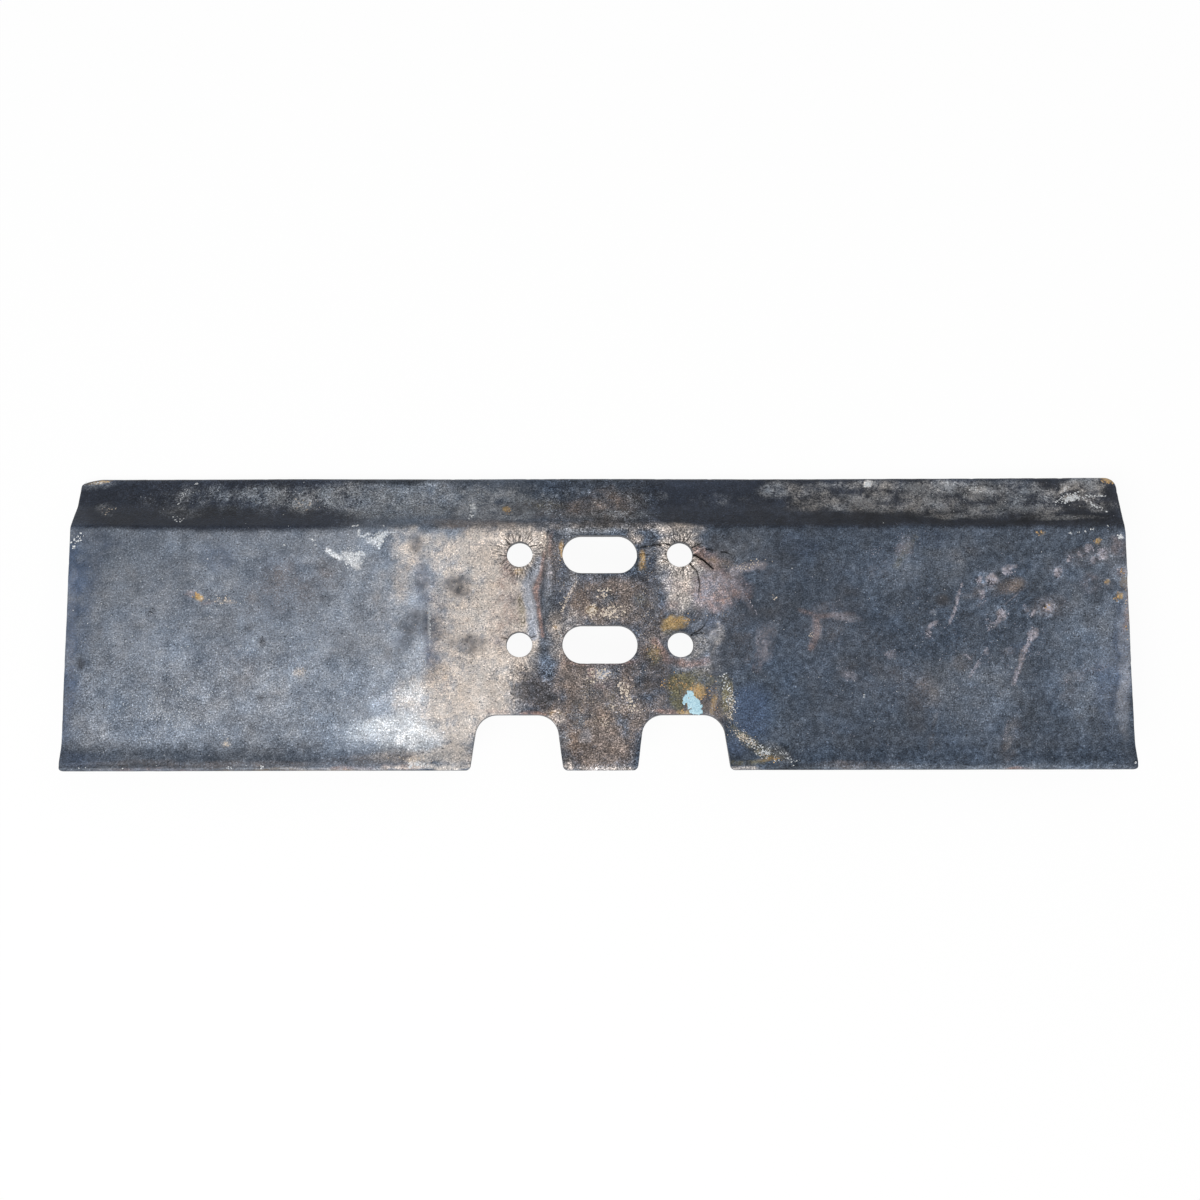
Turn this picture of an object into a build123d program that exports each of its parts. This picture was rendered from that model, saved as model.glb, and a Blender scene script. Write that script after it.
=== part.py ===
"""Triple-bar track shoe: one length of hot-rolled steel section.

The bar is sheared to the shoe's width, its corners are rounded, it is punched for the link bolts and for mud, and
its rear edge is flame-cut to clear the links of the next pair.

The frame is the one a fitter measures from. The origin is the middle of the bolt pattern, on the face that the
links are bolted to. X runs along the shoe's width, +Y points to the down-turned front lip, and +Z points away from
the ground, so the three ground bars reach down to the lowest level.
"""

import os
from math import cos, radians, sin, tan

from build123d import *

# Whole shoe
shoe_width = 600.0
plate_thickness = 7.0
bar_height = 20.0
ground_z = -(plate_thickness + bar_height)
underside_z = -plate_thickness

# Front lip: it drops steeply from the bend, eases into the toe, and ends as the first ground bar
front_edge_y = 74.4
lip_bend_y = 41.4
lip_bend_radius = 5.0
lip_slope = 41.0
lip_slope_length = 20.5
lip_ease_radius = 22.0
toe_slope = 26.0
toe_nose_radius = 3.6
toe_foot_width = 9.5
toe_foot_radius = 1.6
toe_rear_taper = 14.0
toe_root_radius = 3.0
lip_underside_slope = 35.0
lip_inner_bend_y = 39.6
lip_inner_bend_radius = 4.0

# Rear lip: it thins from below and curls up, to pass over the front lip of the next shoe
rear_edge_y = -97.0
rear_rim_height = 4.6
rear_rim_width = 4.6
rear_rim_inner_radius = 2.2
rear_rim_outer_radius = 2.4
curl_start_y = -82.2
curl_radius = 16.0
rear_lip_thickness = 4.0
rear_thinning_start_y = -70.0
rear_thinning_radius = 24.0
rear_lower_edge_radius = 1.2

# Middle and rear ground bars, clear of the bolt heads and of the notches
middle_bar_y = 0.0
rear_bar_y = -50.0
bar_tip_width = 7.6
bar_flank_taper = 8.0
bar_tip_radius = 1.8
bar_root_radius = 5.0

# Corners of the sheared bar, seen from above
front_corner_radius = 6.5
rear_corner_radius = 3.0

# Four link bolts
bolt_spacing_x = 91.0
bolt_spacing_y = 51.6
bolt_hole_diameter = 14.5

# Two mud slots, one between the bolts of each row
mud_slot_length = 42.5
mud_slot_width = 22.0

# Two clearance notches in the rear edge, one behind each link
notch_spacing_x = 93.2
notch_depth = 31.5
notch_root_width = 43.6
notch_side_flare = 7.6
notch_root_radius = 12.0
notch_mouth_radius = 3.0

# Overrun of every cut past the faces that it opens
cut_overrun = 10.0


def drop(run, slope):
    """Height lost over a horizontal run at a slope in degrees."""
    return run * tan(radians(slope))


def rounded_outline(corners):
    """A closed outline through (x, y, radius) corners: straight sides joined by tangent arcs."""
    points = [(x, y) for x, y, _ in corners]
    outline = make_face(Polyline(*points, close=True))
    for x, y, radius in corners:
        if radius:
            nearest = outline.vertices().sort_by_distance((x, y, 0))[0]
            outline = fillet(nearest, radius)
    return outline


def ground_bar(bar_y):
    """The four corners of one ground bar, from its rear root round its tip to its front root."""
    root_half_width = bar_tip_width / 2 + bar_height * tan(radians(bar_flank_taper))
    return [
        (bar_y + root_half_width, underside_z, bar_root_radius),
        (bar_y + bar_tip_width / 2, ground_z, bar_tip_radius),
        (bar_y - bar_tip_width / 2, ground_z, bar_tip_radius),
        (bar_y - root_half_width, underside_z, bar_root_radius),
    ]


def rolled_section():
    """The rolled section in (Y, Z), from the rear rim over the link face to the toe and back under the bars."""
    # Top of the front lip, from the bend to the toe's nose
    ease_y = lip_bend_y + lip_slope_length * cos(radians(lip_slope))
    ease_z = -lip_slope_length * sin(radians(lip_slope))
    nose_z = ease_z - drop(front_edge_y - ease_y, toe_slope)

    # Underside of the front lip: one slope, met near the ground by the toe's leaning rear flank
    foot_rear_y = front_edge_y - toe_foot_width
    height_left = bar_height - drop(foot_rear_y - lip_inner_bend_y, lip_underside_slope)
    flank_lean = tan(radians(toe_rear_taper))
    flank_rise = height_left / (1 - drop(flank_lean, lip_underside_slope))

    # Rear lip: its top rises to the rim, its underside rises in one straight taper
    rim_inner_y = rear_edge_y + rear_rim_width
    rear_lower_z = rear_rim_height - rear_lip_thickness

    return rounded_outline(
        [
            (rear_edge_y, rear_rim_height, rear_rim_outer_radius),
            (rim_inner_y, rear_rim_height, rear_rim_inner_radius),
            (curl_start_y, 0, curl_radius),
            (lip_bend_y, 0, lip_bend_radius),
            (ease_y, ease_z, lip_ease_radius),
            (front_edge_y, nose_z, toe_nose_radius),
            (front_edge_y, ground_z, toe_foot_radius),
            (foot_rear_y, ground_z, toe_foot_radius),
            (foot_rear_y - flank_rise * flank_lean, ground_z + flank_rise, toe_root_radius),
            (lip_inner_bend_y, underside_z, lip_inner_bend_radius),
            *ground_bar(middle_bar_y),
            *ground_bar(rear_bar_y),
            (rear_thinning_start_y, underside_z, rear_thinning_radius),
            (rear_edge_y, rear_lower_z, rear_lower_edge_radius),
        ]
    )


def rolled_bar():
    """The section carried along the shoe's width."""
    section = Plane.YZ * rolled_section()
    return extrude(section, shoe_width / 2, both=True)


def sheared_blank():
    """The shoe's outline from above, with worn-round corners, as a block taller than the section."""
    half_width = shoe_width / 2
    outline = rounded_outline(
        [
            (-half_width, rear_edge_y, rear_corner_radius),
            (half_width, rear_edge_y, rear_corner_radius),
            (half_width, front_edge_y, front_corner_radius),
            (-half_width, front_edge_y, front_corner_radius),
        ]
    )
    return punch(outline)


def punch(outline):
    """An outline on the link face, carried through the whole height of the section."""
    bottom = ground_z - cut_overrun
    top = rear_rim_height + cut_overrun
    return Pos(0, 0, bottom) * extrude(outline, top - bottom)


def bolt_holes():
    """Four round holes on a rectangle."""
    return punch(
        Sketch() + GridLocations(bolt_spacing_x, bolt_spacing_y, 2, 2) * Circle(bolt_hole_diameter / 2)
    )


def mud_slots():
    """Two obround slots, in line with the bolt rows."""
    return punch(
        Sketch()
        + GridLocations(0, bolt_spacing_y, 1, 2) * SlotOverall(mud_slot_length, mud_slot_width)
    )


def notch():
    """One clearance notch about X = 0: a flat root, rounded root corners and sides that flare to the rear."""
    root_y = rear_edge_y + notch_depth
    end_y = rear_edge_y - cut_overrun
    root_half_width = notch_root_width / 2
    mouth_half_width = root_half_width + notch_depth * tan(radians(notch_side_flare))
    outline = rounded_outline(
        [
            (-root_half_width, root_y, notch_root_radius),
            (root_half_width, root_y, notch_root_radius),
            (mouth_half_width, rear_edge_y, notch_mouth_radius),
            (mouth_half_width + cut_overrun, rear_edge_y, 0),
            (mouth_half_width + cut_overrun, end_y, 0),
            (-mouth_half_width - cut_overrun, end_y, 0),
            (-mouth_half_width - cut_overrun, rear_edge_y, 0),
            (-mouth_half_width, rear_edge_y, notch_mouth_radius),
        ]
    )
    return punch(outline)


def track_shoe():
    """The finished shoe: rolled bar, sheared and rounded at the corners, punched and notched."""
    shoe = rolled_bar() & sheared_blank()
    shoe -= bolt_holes()
    shoe -= mud_slots()
    for side in (-1, 1):
        shoe -= Pos(side * notch_spacing_x / 2, 0, 0) * notch()
    return shoe.solid()


os.makedirs("parts", exist_ok=True)
export_step(track_shoe(), "parts/track_shoe.step")
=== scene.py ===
"""The dress of a used excavator track shoe: its worn steel skin, its cracks, its dirt and its light."""

import math

import bpy
import numpy as np
from mathutils import Matrix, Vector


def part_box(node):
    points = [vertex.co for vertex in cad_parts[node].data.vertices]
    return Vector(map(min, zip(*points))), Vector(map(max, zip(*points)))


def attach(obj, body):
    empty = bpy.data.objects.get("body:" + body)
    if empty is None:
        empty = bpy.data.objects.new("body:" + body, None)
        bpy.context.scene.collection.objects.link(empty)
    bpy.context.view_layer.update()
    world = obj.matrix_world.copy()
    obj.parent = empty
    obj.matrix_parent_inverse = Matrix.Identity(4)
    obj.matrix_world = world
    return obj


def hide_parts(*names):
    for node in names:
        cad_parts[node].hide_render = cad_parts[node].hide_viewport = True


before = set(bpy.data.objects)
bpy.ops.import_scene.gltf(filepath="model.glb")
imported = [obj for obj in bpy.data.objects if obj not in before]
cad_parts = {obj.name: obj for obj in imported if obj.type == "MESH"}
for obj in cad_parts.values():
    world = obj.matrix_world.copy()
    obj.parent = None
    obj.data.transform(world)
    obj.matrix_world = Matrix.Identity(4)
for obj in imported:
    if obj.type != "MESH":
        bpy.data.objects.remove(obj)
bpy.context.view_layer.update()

MM = 0.001
SHOE = "track_shoe"

# Camera, found from the plate's ends and the bolt holes: place in millimetres, angles in degrees
PHOTO_SIZE_PX = 1200
PHOTO_CENTRE_PX = PHOTO_SIZE_PX / 2
FOCAL_PX = 2000.0
CAMERA_PLACE = np.array([-17.0, -179.0, 1115.7])
CAMERA_TILT = 9.08
CAMERA_YAW = -0.862
CAMERA_ROLL = -0.036

# The shoe's reach, from the frame, in millimetres
LOW, HIGH = (np.array(corner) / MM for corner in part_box(SHOE))
HALF_WIDTH = HIGH[0]
REAR_EDGE, FRONT_EDGE = LOW[1], HIGH[1]
GROUND, RIM_TOP = LOW[2], HIGH[2]

# The rolled section
UNDERSIDE = -7.0
RIM_WIDTH, RIM_THICKNESS = 4.6, 4.0
CURL_START = -82.2
BEND = 41.4
LIP_SLOPE, LIP_SLOPE_LENGTH, TOE_SLOPE = 41.0, 20.5, 26.0
TOE_FOOT_WIDTH, TOE_TAPER = 9.5, 14.0
INNER_BEND, INNER_SLOPE = 39.6, 35.0
THINNING_START = -70.0
BAR_PLACES = (0.0, -50.0)
BAR_TIP_WIDTH, BAR_TAPER = 7.6, 8.0

# The radii of the section's corners, from the rear rim over the top to the toe, and back below
RIM_OUTER_RADIUS, RIM_INNER_RADIUS, CURL_RADIUS = 1.9, 2.2, 16.0
BEND_RADIUS, EASE_RADIUS, NOSE_RADIUS = 5.0, 22.0, 3.6
TOE_TIP_RADIUS, TOE_HEEL_RADIUS, TOE_ROOT_RADIUS, INNER_BEND_RADIUS = 1.1, 1.6, 3.0, 4.0
BAR_ROOT_RADIUS, BAR_TIP_RADIUS = 5.0, 1.8
THINNING_RADIUS, REAR_FOOT_RADIUS = 24.0, 1.2

# The openings
BOLT_SPACING = (91.0, 51.6)
BOLT_HOLE_RADIUS = 7.25
SLOT_LENGTH, SLOT_WIDTH = 42.5, 22.0
NOTCH_SPACING, NOTCH_DEPTH, NOTCH_ROOT_WIDTH = 93.2, 31.5, 43.6
NOTCH_FLARE, NOTCH_ROOT_RADIUS, NOTCH_MOUTH_RADIUS = 7.6, 12.0, 3.0
FRONT_CORNER_RADIUS, REAR_CORNER_RADIUS = 6.5, 1.6

# How far the cuts' edges are worn round
DRILLED_EDGE, PUNCHED_EDGE, FLAME_CUT_EDGE = 0.55, 0.7, 0.9

# What years of work did to the ends of the lip: the twist grows over a length past the bend, the worn corner
# starts at another, and the bars' tips, up to a margin over the ground, stay level
WORN_CORNER_RADIUS, WORN_CORNER_LENGTH, WORN_CORNER_DEPTH = 2.6, 13.0, 2.3
LIP_RISE_RIGHT, LIP_FALL_LEFT = 3.4, 2.0
TWIST_LENGTH, WORN_CORNER_START, END_EASE = 18.0, 8.0, 20.0
TIP_MARGIN = 0.5


def tan_deg(angle):
    """Tangent of an angle in degrees."""
    return math.tan(math.radians(angle))


def smooth(low, high, value):
    """Smoothstep: 0 below low, 1 above high, and 3t^2 - 2t^3 between them, where t is the share of the way."""
    t = np.clip((value - low) / (high - low), 0.0, 1.0)
    return t * t * (3.0 - 2.0 * t)


def window(value, up_from, up_to, down_from, down_to):
    """1 between two soft borders: a smoothstep up over the first and one down over the second."""
    return smooth(up_from, up_to, value) * (1.0 - smooth(down_from, down_to, value))


def turn_parts(turn=0.0):
    """Cosine and sine of a turn in degrees."""
    return math.cos(math.radians(turn)), math.sin(math.radians(turn))


# Photograph to plate

def camera_axes():
    """Columns: the camera's right, up and back. Back leans from +Z towards -Y by the tilt, then yaw turns it
    about the camera's up and roll about its back."""
    tilt, yaw, roll = (math.radians(a) for a in (CAMERA_TILT, CAMERA_YAW, CAMERA_ROLL))
    back = np.array([0.0, -math.sin(tilt), math.cos(tilt)])
    right = np.array([1.0, 0.0, 0.0])
    upright = np.column_stack([right, np.cross(back, right), back])
    c, s = math.cos(yaw), math.sin(yaw)
    turn_yaw = np.array([[c, 0, s], [0, 1, 0], [-s, 0, c]])
    c, s = math.cos(roll), math.sin(roll)
    turn_roll = np.array([[c, -s, 0], [s, c, 0], [0, 0, 1]])
    return upright @ turn_yaw @ turn_roll


def photo_pixel(points):
    """Where the photograph shows each point: its offset from the camera along right and up, over its depth,
    times the focal length, from the picture's centre."""
    seen = (points - CAMERA_PLACE) @ camera_axes()
    across = PHOTO_CENTRE_PX - FOCAL_PX * seen[:, 0] / seen[:, 2]
    down = PHOTO_CENTRE_PX + FOCAL_PX * seen[:, 1] / seen[:, 2]
    return across, down


def link_face_point(pixels):
    """The point of the link face under each pixel: the pixel's ray carried down to Z = 0."""
    pixels = np.asarray(pixels, float)
    across = (pixels[:, 0] - PHOTO_CENTRE_PX) / FOCAL_PX
    up = (PHOTO_CENTRE_PX - pixels[:, 1]) / FOCAL_PX
    rays = np.column_stack([across, up, -np.ones(len(pixels))]) @ camera_axes().T
    return CAMERA_PLACE - rays * (CAMERA_PLACE[2] / rays[:, 2])[:, None]


# Noise

def value_noise(points, cell, seed):
    """Value noise from -1 to 1: a random value at each corner of a cubic lattice of the cell's size, blended
    across the cell by 3t^2 - 2t^3 along each axis."""
    table = np.random.default_rng(seed).uniform(-1.0, 1.0, 4096)
    place = points / cell
    corner = np.floor(place).astype(np.int64)
    t = place - corner
    t = t * t * (3.0 - 2.0 * t)
    total = np.zeros(len(points))
    for step in np.ndindex(2, 2, 2):
        at = corner + step
        key = (at[:, 0] * 73856093) ^ (at[:, 1] * 19349663) ^ (at[:, 2] * 83492791)
        weight = np.where(step, t, 1.0 - t).prod(axis=1)
        total += weight * table[key & 4095]
    return total


def fractal_noise(points, cell, seed, octaves=4, keep=0.55):
    """Octaves of value noise, each at half the cell and a kept share of the strength of the last, over their
    sum."""
    total, strength, whole = 0.0, 1.0, 0.0
    for octave in range(octaves):
        total = total + strength * value_noise(points, cell / 2 ** octave, seed + octave)
        whole += strength
        strength *= keep
    return total / whole


# The section

def section_corners():
    """The section's corners as (Y, Z, radius): the upper chain from rear to front, and the lower one back."""
    ease = (
        BEND + LIP_SLOPE_LENGTH * math.cos(math.radians(LIP_SLOPE)),
        -LIP_SLOPE_LENGTH * math.sin(math.radians(LIP_SLOPE)),
    )
    nose = ease[1] - (FRONT_EDGE - ease[0]) * tan_deg(TOE_SLOPE)
    rear_lower = RIM_TOP - RIM_THICKNESS
    front_seam = (FRONT_EDGE, (nose + GROUND) / 2, 0.0)
    rear_seam = (REAR_EDGE, (RIM_TOP + rear_lower) / 2, 0.0)
    upper = [
        rear_seam,
        (REAR_EDGE, RIM_TOP, RIM_OUTER_RADIUS),
        (REAR_EDGE + RIM_WIDTH, RIM_TOP, RIM_INNER_RADIUS),
        (CURL_START, 0.0, CURL_RADIUS),
        (BEND, 0.0, BEND_RADIUS),
        (*ease, EASE_RADIUS),
        (FRONT_EDGE, nose, NOSE_RADIUS),
        front_seam,
    ]
    foot_rear = FRONT_EDGE - TOE_FOOT_WIDTH
    lean = tan_deg(TOE_TAPER)
    rise = (UNDERSIDE - GROUND - (foot_rear - INNER_BEND) * tan_deg(INNER_SLOPE)) / (
        1.0 - lean * tan_deg(INNER_SLOPE)
    )
    lower = [
        front_seam,
        (FRONT_EDGE, GROUND, TOE_TIP_RADIUS),
        (foot_rear, GROUND, TOE_HEEL_RADIUS),
        (foot_rear - rise * lean, GROUND + rise, TOE_ROOT_RADIUS),
        (INNER_BEND, UNDERSIDE, INNER_BEND_RADIUS),
    ]
    tip = BAR_TIP_WIDTH / 2
    root = tip + (UNDERSIDE - GROUND) * tan_deg(BAR_TAPER)
    for place in BAR_PLACES:
        lower += [
            (place + root, UNDERSIDE, BAR_ROOT_RADIUS),
            (place + tip, GROUND, BAR_TIP_RADIUS),
            (place - tip, GROUND, BAR_TIP_RADIUS),
            (place - root, UNDERSIDE, BAR_ROOT_RADIUS),
        ]
    lower += [
        (THINNING_START, UNDERSIDE, THINNING_RADIUS),
        (REAR_EDGE, rear_lower, REAR_FOOT_RADIUS),
        rear_seam,
    ]
    return upper, lower


def rounded_chain(corners, run_step, arc_step=15.0):
    """Points along a chain of corners: straight runs in steps of at most run_step, and at each corner the
    tangent arc of its radius, in steps of at most arc_step degrees."""
    corners = np.array(corners, float)
    place, radius = corners[:, :2], corners[:, 2]
    chain = [place[:1]]
    for i in range(1, len(corners)):
        heading = place[i] - place[i - 1]
        heading /= np.linalg.norm(heading)
        if i == len(corners) - 1:
            arc = place[i:]
        else:
            leaving = place[i + 1] - place[i]
            leaving /= np.linalg.norm(leaving)
            turn = math.atan2(heading[0] * leaving[1] - heading[1] * leaving[0], heading @ leaving)
            start = place[i] - heading * radius[i] * math.tan(abs(turn) / 2)
            side = math.copysign(1.0, turn) * np.array([-heading[1], heading[0]])
            centre = start + side * radius[i]
            by_turn = math.ceil(abs(math.degrees(turn)) / arc_step)
            count = max(2, by_turn, math.ceil(abs(turn) * radius[i] / run_step))
            angle = np.linspace(0.0, turn, count + 1)[:, None]
            spoke = start - centre
            across = np.array([-spoke[1], spoke[0]])
            arc = centre + spoke * np.cos(angle) + across * np.sin(angle)
        last = chain[-1][-1]
        run = arc[0] - last
        count = max(1, math.ceil(np.linalg.norm(run) / run_step))
        chain.append(last + run * np.linspace(0.0, 1.0, count + 1)[1:-1, None])
        chain.append(arc)
    return np.concatenate(chain)


def chain_normals(chain):
    """Outward unit normals of a closed chain that runs with the metal on its right."""
    along = np.roll(chain, -1, axis=0) - np.roll(chain, 1, axis=0)
    outward = np.column_stack([-along[:, 1], along[:, 0]])
    return outward / np.linalg.norm(outward, axis=1)[:, None]


# Meshes

def new_piece(name, points, faces):
    """An object at the origin from points in millimetres and faces as lists of point numbers."""
    mesh = bpy.data.meshes.new(name)
    mesh.from_pydata((np.asarray(points) * MM).tolist(), [], faces)
    mesh.validate()
    piece = bpy.data.objects.new(name, mesh)
    bpy.context.scene.collection.objects.link(piece)
    return piece


def closed_tube(loops):
    """Faces of a tube through equal closed loops, numbered loop by loop, with a flat face at each end."""
    rows, count = loops
    ids = np.arange(rows * count).reshape(rows, count)
    beside = np.roll(ids, -1, axis=1)
    walls = np.stack([ids[:-1], beside[:-1], beside[1:], ids[1:]], axis=-1).reshape(-1, 4)
    return walls.tolist() + [ids[0, ::-1].tolist(), ids[-1].tolist()]


def sheet(ids):
    """Faces of a grid of point numbers."""
    return np.stack([ids[:-1, :-1], ids[:-1, 1:], ids[1:, 1:], ids[1:, :-1]], axis=-1).reshape(-1, 4).tolist()


def zip_faces(fine, coarse, picks):
    """Triangles between a fine row and a coarse one. The coarse points lie over fine[picks]. In each coarse
    cell the fine edges before its middle meet the cell's first point, and those after it meet its last."""
    edge = np.arange(len(fine) - 1)
    cell = np.searchsorted(picks, edge, side="right") - 1
    middle = (picks[:-1] + picks[1:]) // 2
    meets = coarse[np.where(edge < middle[cell], cell, cell + 1)]
    fans = np.column_stack([fine[edge + 1], meets, fine[edge]])
    bases = np.column_stack([coarse[1:], coarse[:-1], fine[middle]])
    return fans.tolist() + bases.tolist()


# Columns across the width

# Steps in millimetres: across the openings and the fields, and along the upper and the lower section
CENTRE_HALF, CENTRE_STEP, FIELD_STEP = 92.0, 1.1, 1.5
UPPER_STEP, LOWER_STEP = 1.2, 4.0
END_EDGE_RADIUS, END_EDGE_TURNS = 0.8, (30.0, 60.0, 84.0)
LOWER_EVERY_CENTRE, LOWER_EVERY_FIELD = 2, 4


def columns():
    """X of each column of the upper skin and how far it is drawn in along the section's normal: close steps
    over the openings, wider ones over the fields, and a quarter round at each end."""
    turns = np.radians(END_EDGE_TURNS)
    straight_end = HALF_WIDTH - END_EDGE_RADIUS
    centre = np.arange(0.0, CENTRE_HALF, CENTRE_STEP)
    count = math.ceil((straight_end - CENTRE_HALF) / FIELD_STEP)
    field = np.linspace(CENTRE_HALF, straight_end, count + 1)
    half = np.concatenate([centre, field, straight_end + END_EDGE_RADIUS * np.sin(turns)])
    inset = np.concatenate([np.zeros(len(centre) + len(field)), END_EDGE_RADIUS * (1.0 - np.cos(turns))])
    return np.concatenate([-half[:0:-1], half]), np.concatenate([inset[:0:-1], inset])


def lower_picks(x):
    """The columns that the lower skin keeps: some over the openings, fewer over the fields, all at the ends."""
    centre = len(x) // 2
    ends = len(END_EDGE_TURNS) + 1
    over_openings = int(CENTRE_HALF / CENTRE_STEP)
    picks = set(range(centre, centre + over_openings, LOWER_EVERY_CENTRE))
    picks |= set(range(centre + over_openings, len(x) - ends, LOWER_EVERY_FIELD))
    picks |= set(range(len(x) - ends, len(x)))
    picks |= {2 * centre - pick for pick in picks}
    return np.array(sorted(picks))


def quarter_inset(depth, radius):
    """How far a corner's quarter round is drawn in at a depth into it: the radius less its chord height."""
    depth = np.clip(depth, 0.0, radius)
    return radius - np.sqrt(radius ** 2 - depth ** 2)


def corner_inset(x, y):
    """How far the plan corners draw the ends in: quarter rounds, the front left one tighter than the right."""
    front = np.where(x < 0, WORN_CORNER_RADIUS, FRONT_CORNER_RADIUS)
    at_front = quarter_inset(y - (FRONT_EDGE - front), front)
    return at_front + quarter_inset(REAR_EDGE + REAR_CORNER_RADIUS - y, REAR_CORNER_RADIUS)


def lip_rise(x, y):
    """How far the lip's twist lifts the metal: by the square of the way to each end, up on the right and a
    little down on the left, from nothing on the link face to all of it from the middle of the lip."""
    ends = x / HALF_WIDTH
    rise = np.where(ends > 0, LIP_RISE_RIGHT * ends ** 2, -LIP_FALL_LEFT * ends ** 2)
    return smooth(BEND, BEND + TWIST_LENGTH, y) * rise


def skin_rows(rows, normals, x, inset):
    """Points of a skin: each section point carried across the columns and drawn in along its normal at the end
    columns. Near the ends X eases in by the plan corners, the front left corner is worn back along a parabola,
    and the lip is twisted."""
    y = rows[:, 0, None] - normals[:, 0, None] * inset
    z = rows[:, 1, None] - normals[:, 1, None] * inset
    ease = smooth(HALF_WIDTH - END_EASE, HALF_WIDTH, np.abs(x))
    across = x - np.sign(x) * ease * corner_inset(x, y)
    worn = np.clip((WORN_CORNER_LENGTH - HALF_WIDTH - x) / WORN_CORNER_LENGTH, 0.0, 1.0) ** 2
    raised = np.maximum(z + lip_rise(x, y), GROUND)
    z = np.where(z < GROUND + TIP_MARGIN, z, raised)
    y = y - WORN_CORNER_DEPTH * worn * smooth(BEND + WORN_CORNER_START, FRONT_EDGE, y)
    return np.stack([across, y, z], axis=-1)


def plain_shoe():
    """The rolled bar as one closed skin: a fine upper sheet and a coarse lower one, zipped together along the
    toe and the rear rim, with a flat face at each end."""
    upper_corners, lower_corners = section_corners()
    upper = rounded_chain(upper_corners, UPPER_STEP)
    lower = rounded_chain(lower_corners, LOWER_STEP)[1:-1]
    normals = chain_normals(np.concatenate([upper, lower]))
    x, inset = columns()
    picks = lower_picks(x)
    top = skin_rows(upper, normals[: len(upper)], x, inset)
    base = skin_rows(lower, normals[len(upper):], x[picks], inset[picks])
    top_ids = np.arange(top.shape[0] * top.shape[1]).reshape(top.shape[:2])
    base_ids = top_ids.size + np.arange(base.shape[0] * base.shape[1]).reshape(base.shape[:2])

    faces = sheet(top_ids) + sheet(base_ids)
    faces += zip_faces(top_ids[-1], base_ids[0], picks)
    faces += [face[::-1] for face in zip_faces(top_ids[0], base_ids[-1], picks)]
    for side in (0, -1):
        ring = np.concatenate([top_ids[:, side], base_ids[:, side]]).tolist()
        faces.append(ring if side == 0 else ring[::-1])
    points = np.concatenate([top.reshape(-1, 3), base.reshape(-1, 3)])
    return new_piece("worn_shoe", points, faces), upper


# Openings

HOLE_POINTS, CAP_POINTS, SIDE_POINTS = 72, 40, 24
NOTCH_RUN_STEP, NOTCH_ARC_STEP = 1.0, 8.0
# How far a tool reaches past the metal, and its mouth and the level it reads keep off the rear edge
TOOL_OVERRUN, MOUTH_GAP, EDGE_INSET = 6.0, 0.02, 0.6
WORN_EDGE_TURNS = (0.0, 25.0, 50.0, 75.0)


def circle_outline(radius):
    """Points on a circle, anticlockwise."""
    turn = np.linspace(0.0, 2 * math.pi, HOLE_POINTS, endpoint=False)
    return radius * np.column_stack([np.cos(turn), np.sin(turn)])


def slot_outline(length, width):
    """Points on an obround, anticlockwise: two half circles joined by straight sides."""
    turn = np.linspace(-math.pi / 2, math.pi / 2, CAP_POINTS)
    cap = width / 2 * np.column_stack([np.cos(turn), np.sin(turn)])
    shift = np.array([(length - width) / 2, 0.0])
    sides = np.linspace(1.0, -1.0, SIDE_POINTS)[1:-1, None] * shift
    half = np.array([0.0, width / 2])
    return np.concatenate([cap + shift, sides + half, -cap - shift, -sides - half])


def notch_outline():
    """Points round one notch and past the rear edge, from corners with arcs, as the flame cut it."""
    root = REAR_EDGE + NOTCH_DEPTH
    end = REAR_EDGE - TOOL_OVERRUN
    half_root = NOTCH_ROOT_WIDTH / 2
    half_mouth = half_root + NOTCH_DEPTH * tan_deg(NOTCH_FLARE)
    past = half_mouth + TOOL_OVERRUN
    right = [
        (0.0, root, 0.0),
        (half_root, root, NOTCH_ROOT_RADIUS),
        (half_mouth, REAR_EDGE, NOTCH_MOUTH_RADIUS),
        (past, REAR_EDGE - MOUTH_GAP, 0.0),
    ]
    half = rounded_chain(right, NOTCH_RUN_STEP, NOTCH_ARC_STEP)
    half = np.concatenate([half, [[past, end]]])
    mirror = half[::-1] * [-1.0, 1.0]
    return np.concatenate([half, mirror[:-1]])[::-1]


def cutter(name, outline, place, tops, bases, edge_radius):
    """A closed tool through the plate. Its loops follow the outline. Near the upper and the lower surface they
    spread by r - sqrt(r^2 - h^2), where h is the height into the edge's quarter round, so the cut has worn
    edges of that radius."""
    turns = np.radians(WORN_EDGE_TURNS)
    spread = edge_radius * (1.0 - np.cos(turns))
    height = edge_radius * np.sin(turns)
    along = np.roll(outline, -1, axis=0) - np.roll(outline, 1, axis=0)
    outward = np.column_stack([along[:, 1], -along[:, 0]])
    outward /= np.linalg.norm(outward, axis=1)[:, None]
    levels = [(spread[-1], bases - TOOL_OVERRUN)]
    levels += [(s, bases + edge_radius - h) for s, h in zip(spread[::-1], height[::-1])]
    levels += [(s, tops - edge_radius + h) for s, h in zip(spread, height)]
    levels += [(spread[-1], tops + TOOL_OVERRUN)]
    loops = []
    for offset, level in levels:
        flat = outline + outward * offset + place
        loops.append(np.column_stack([flat, np.broadcast_to(level, len(flat))]))
    return new_piece(name, np.concatenate(loops), closed_tube((len(loops), len(outline))))


def level_at(chain, y):
    """Height of a skin at given places in Y, read along its section."""
    order = np.argsort(chain[:, 0])
    return np.interp(y, chain[order, 0], chain[order, 1])


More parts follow.
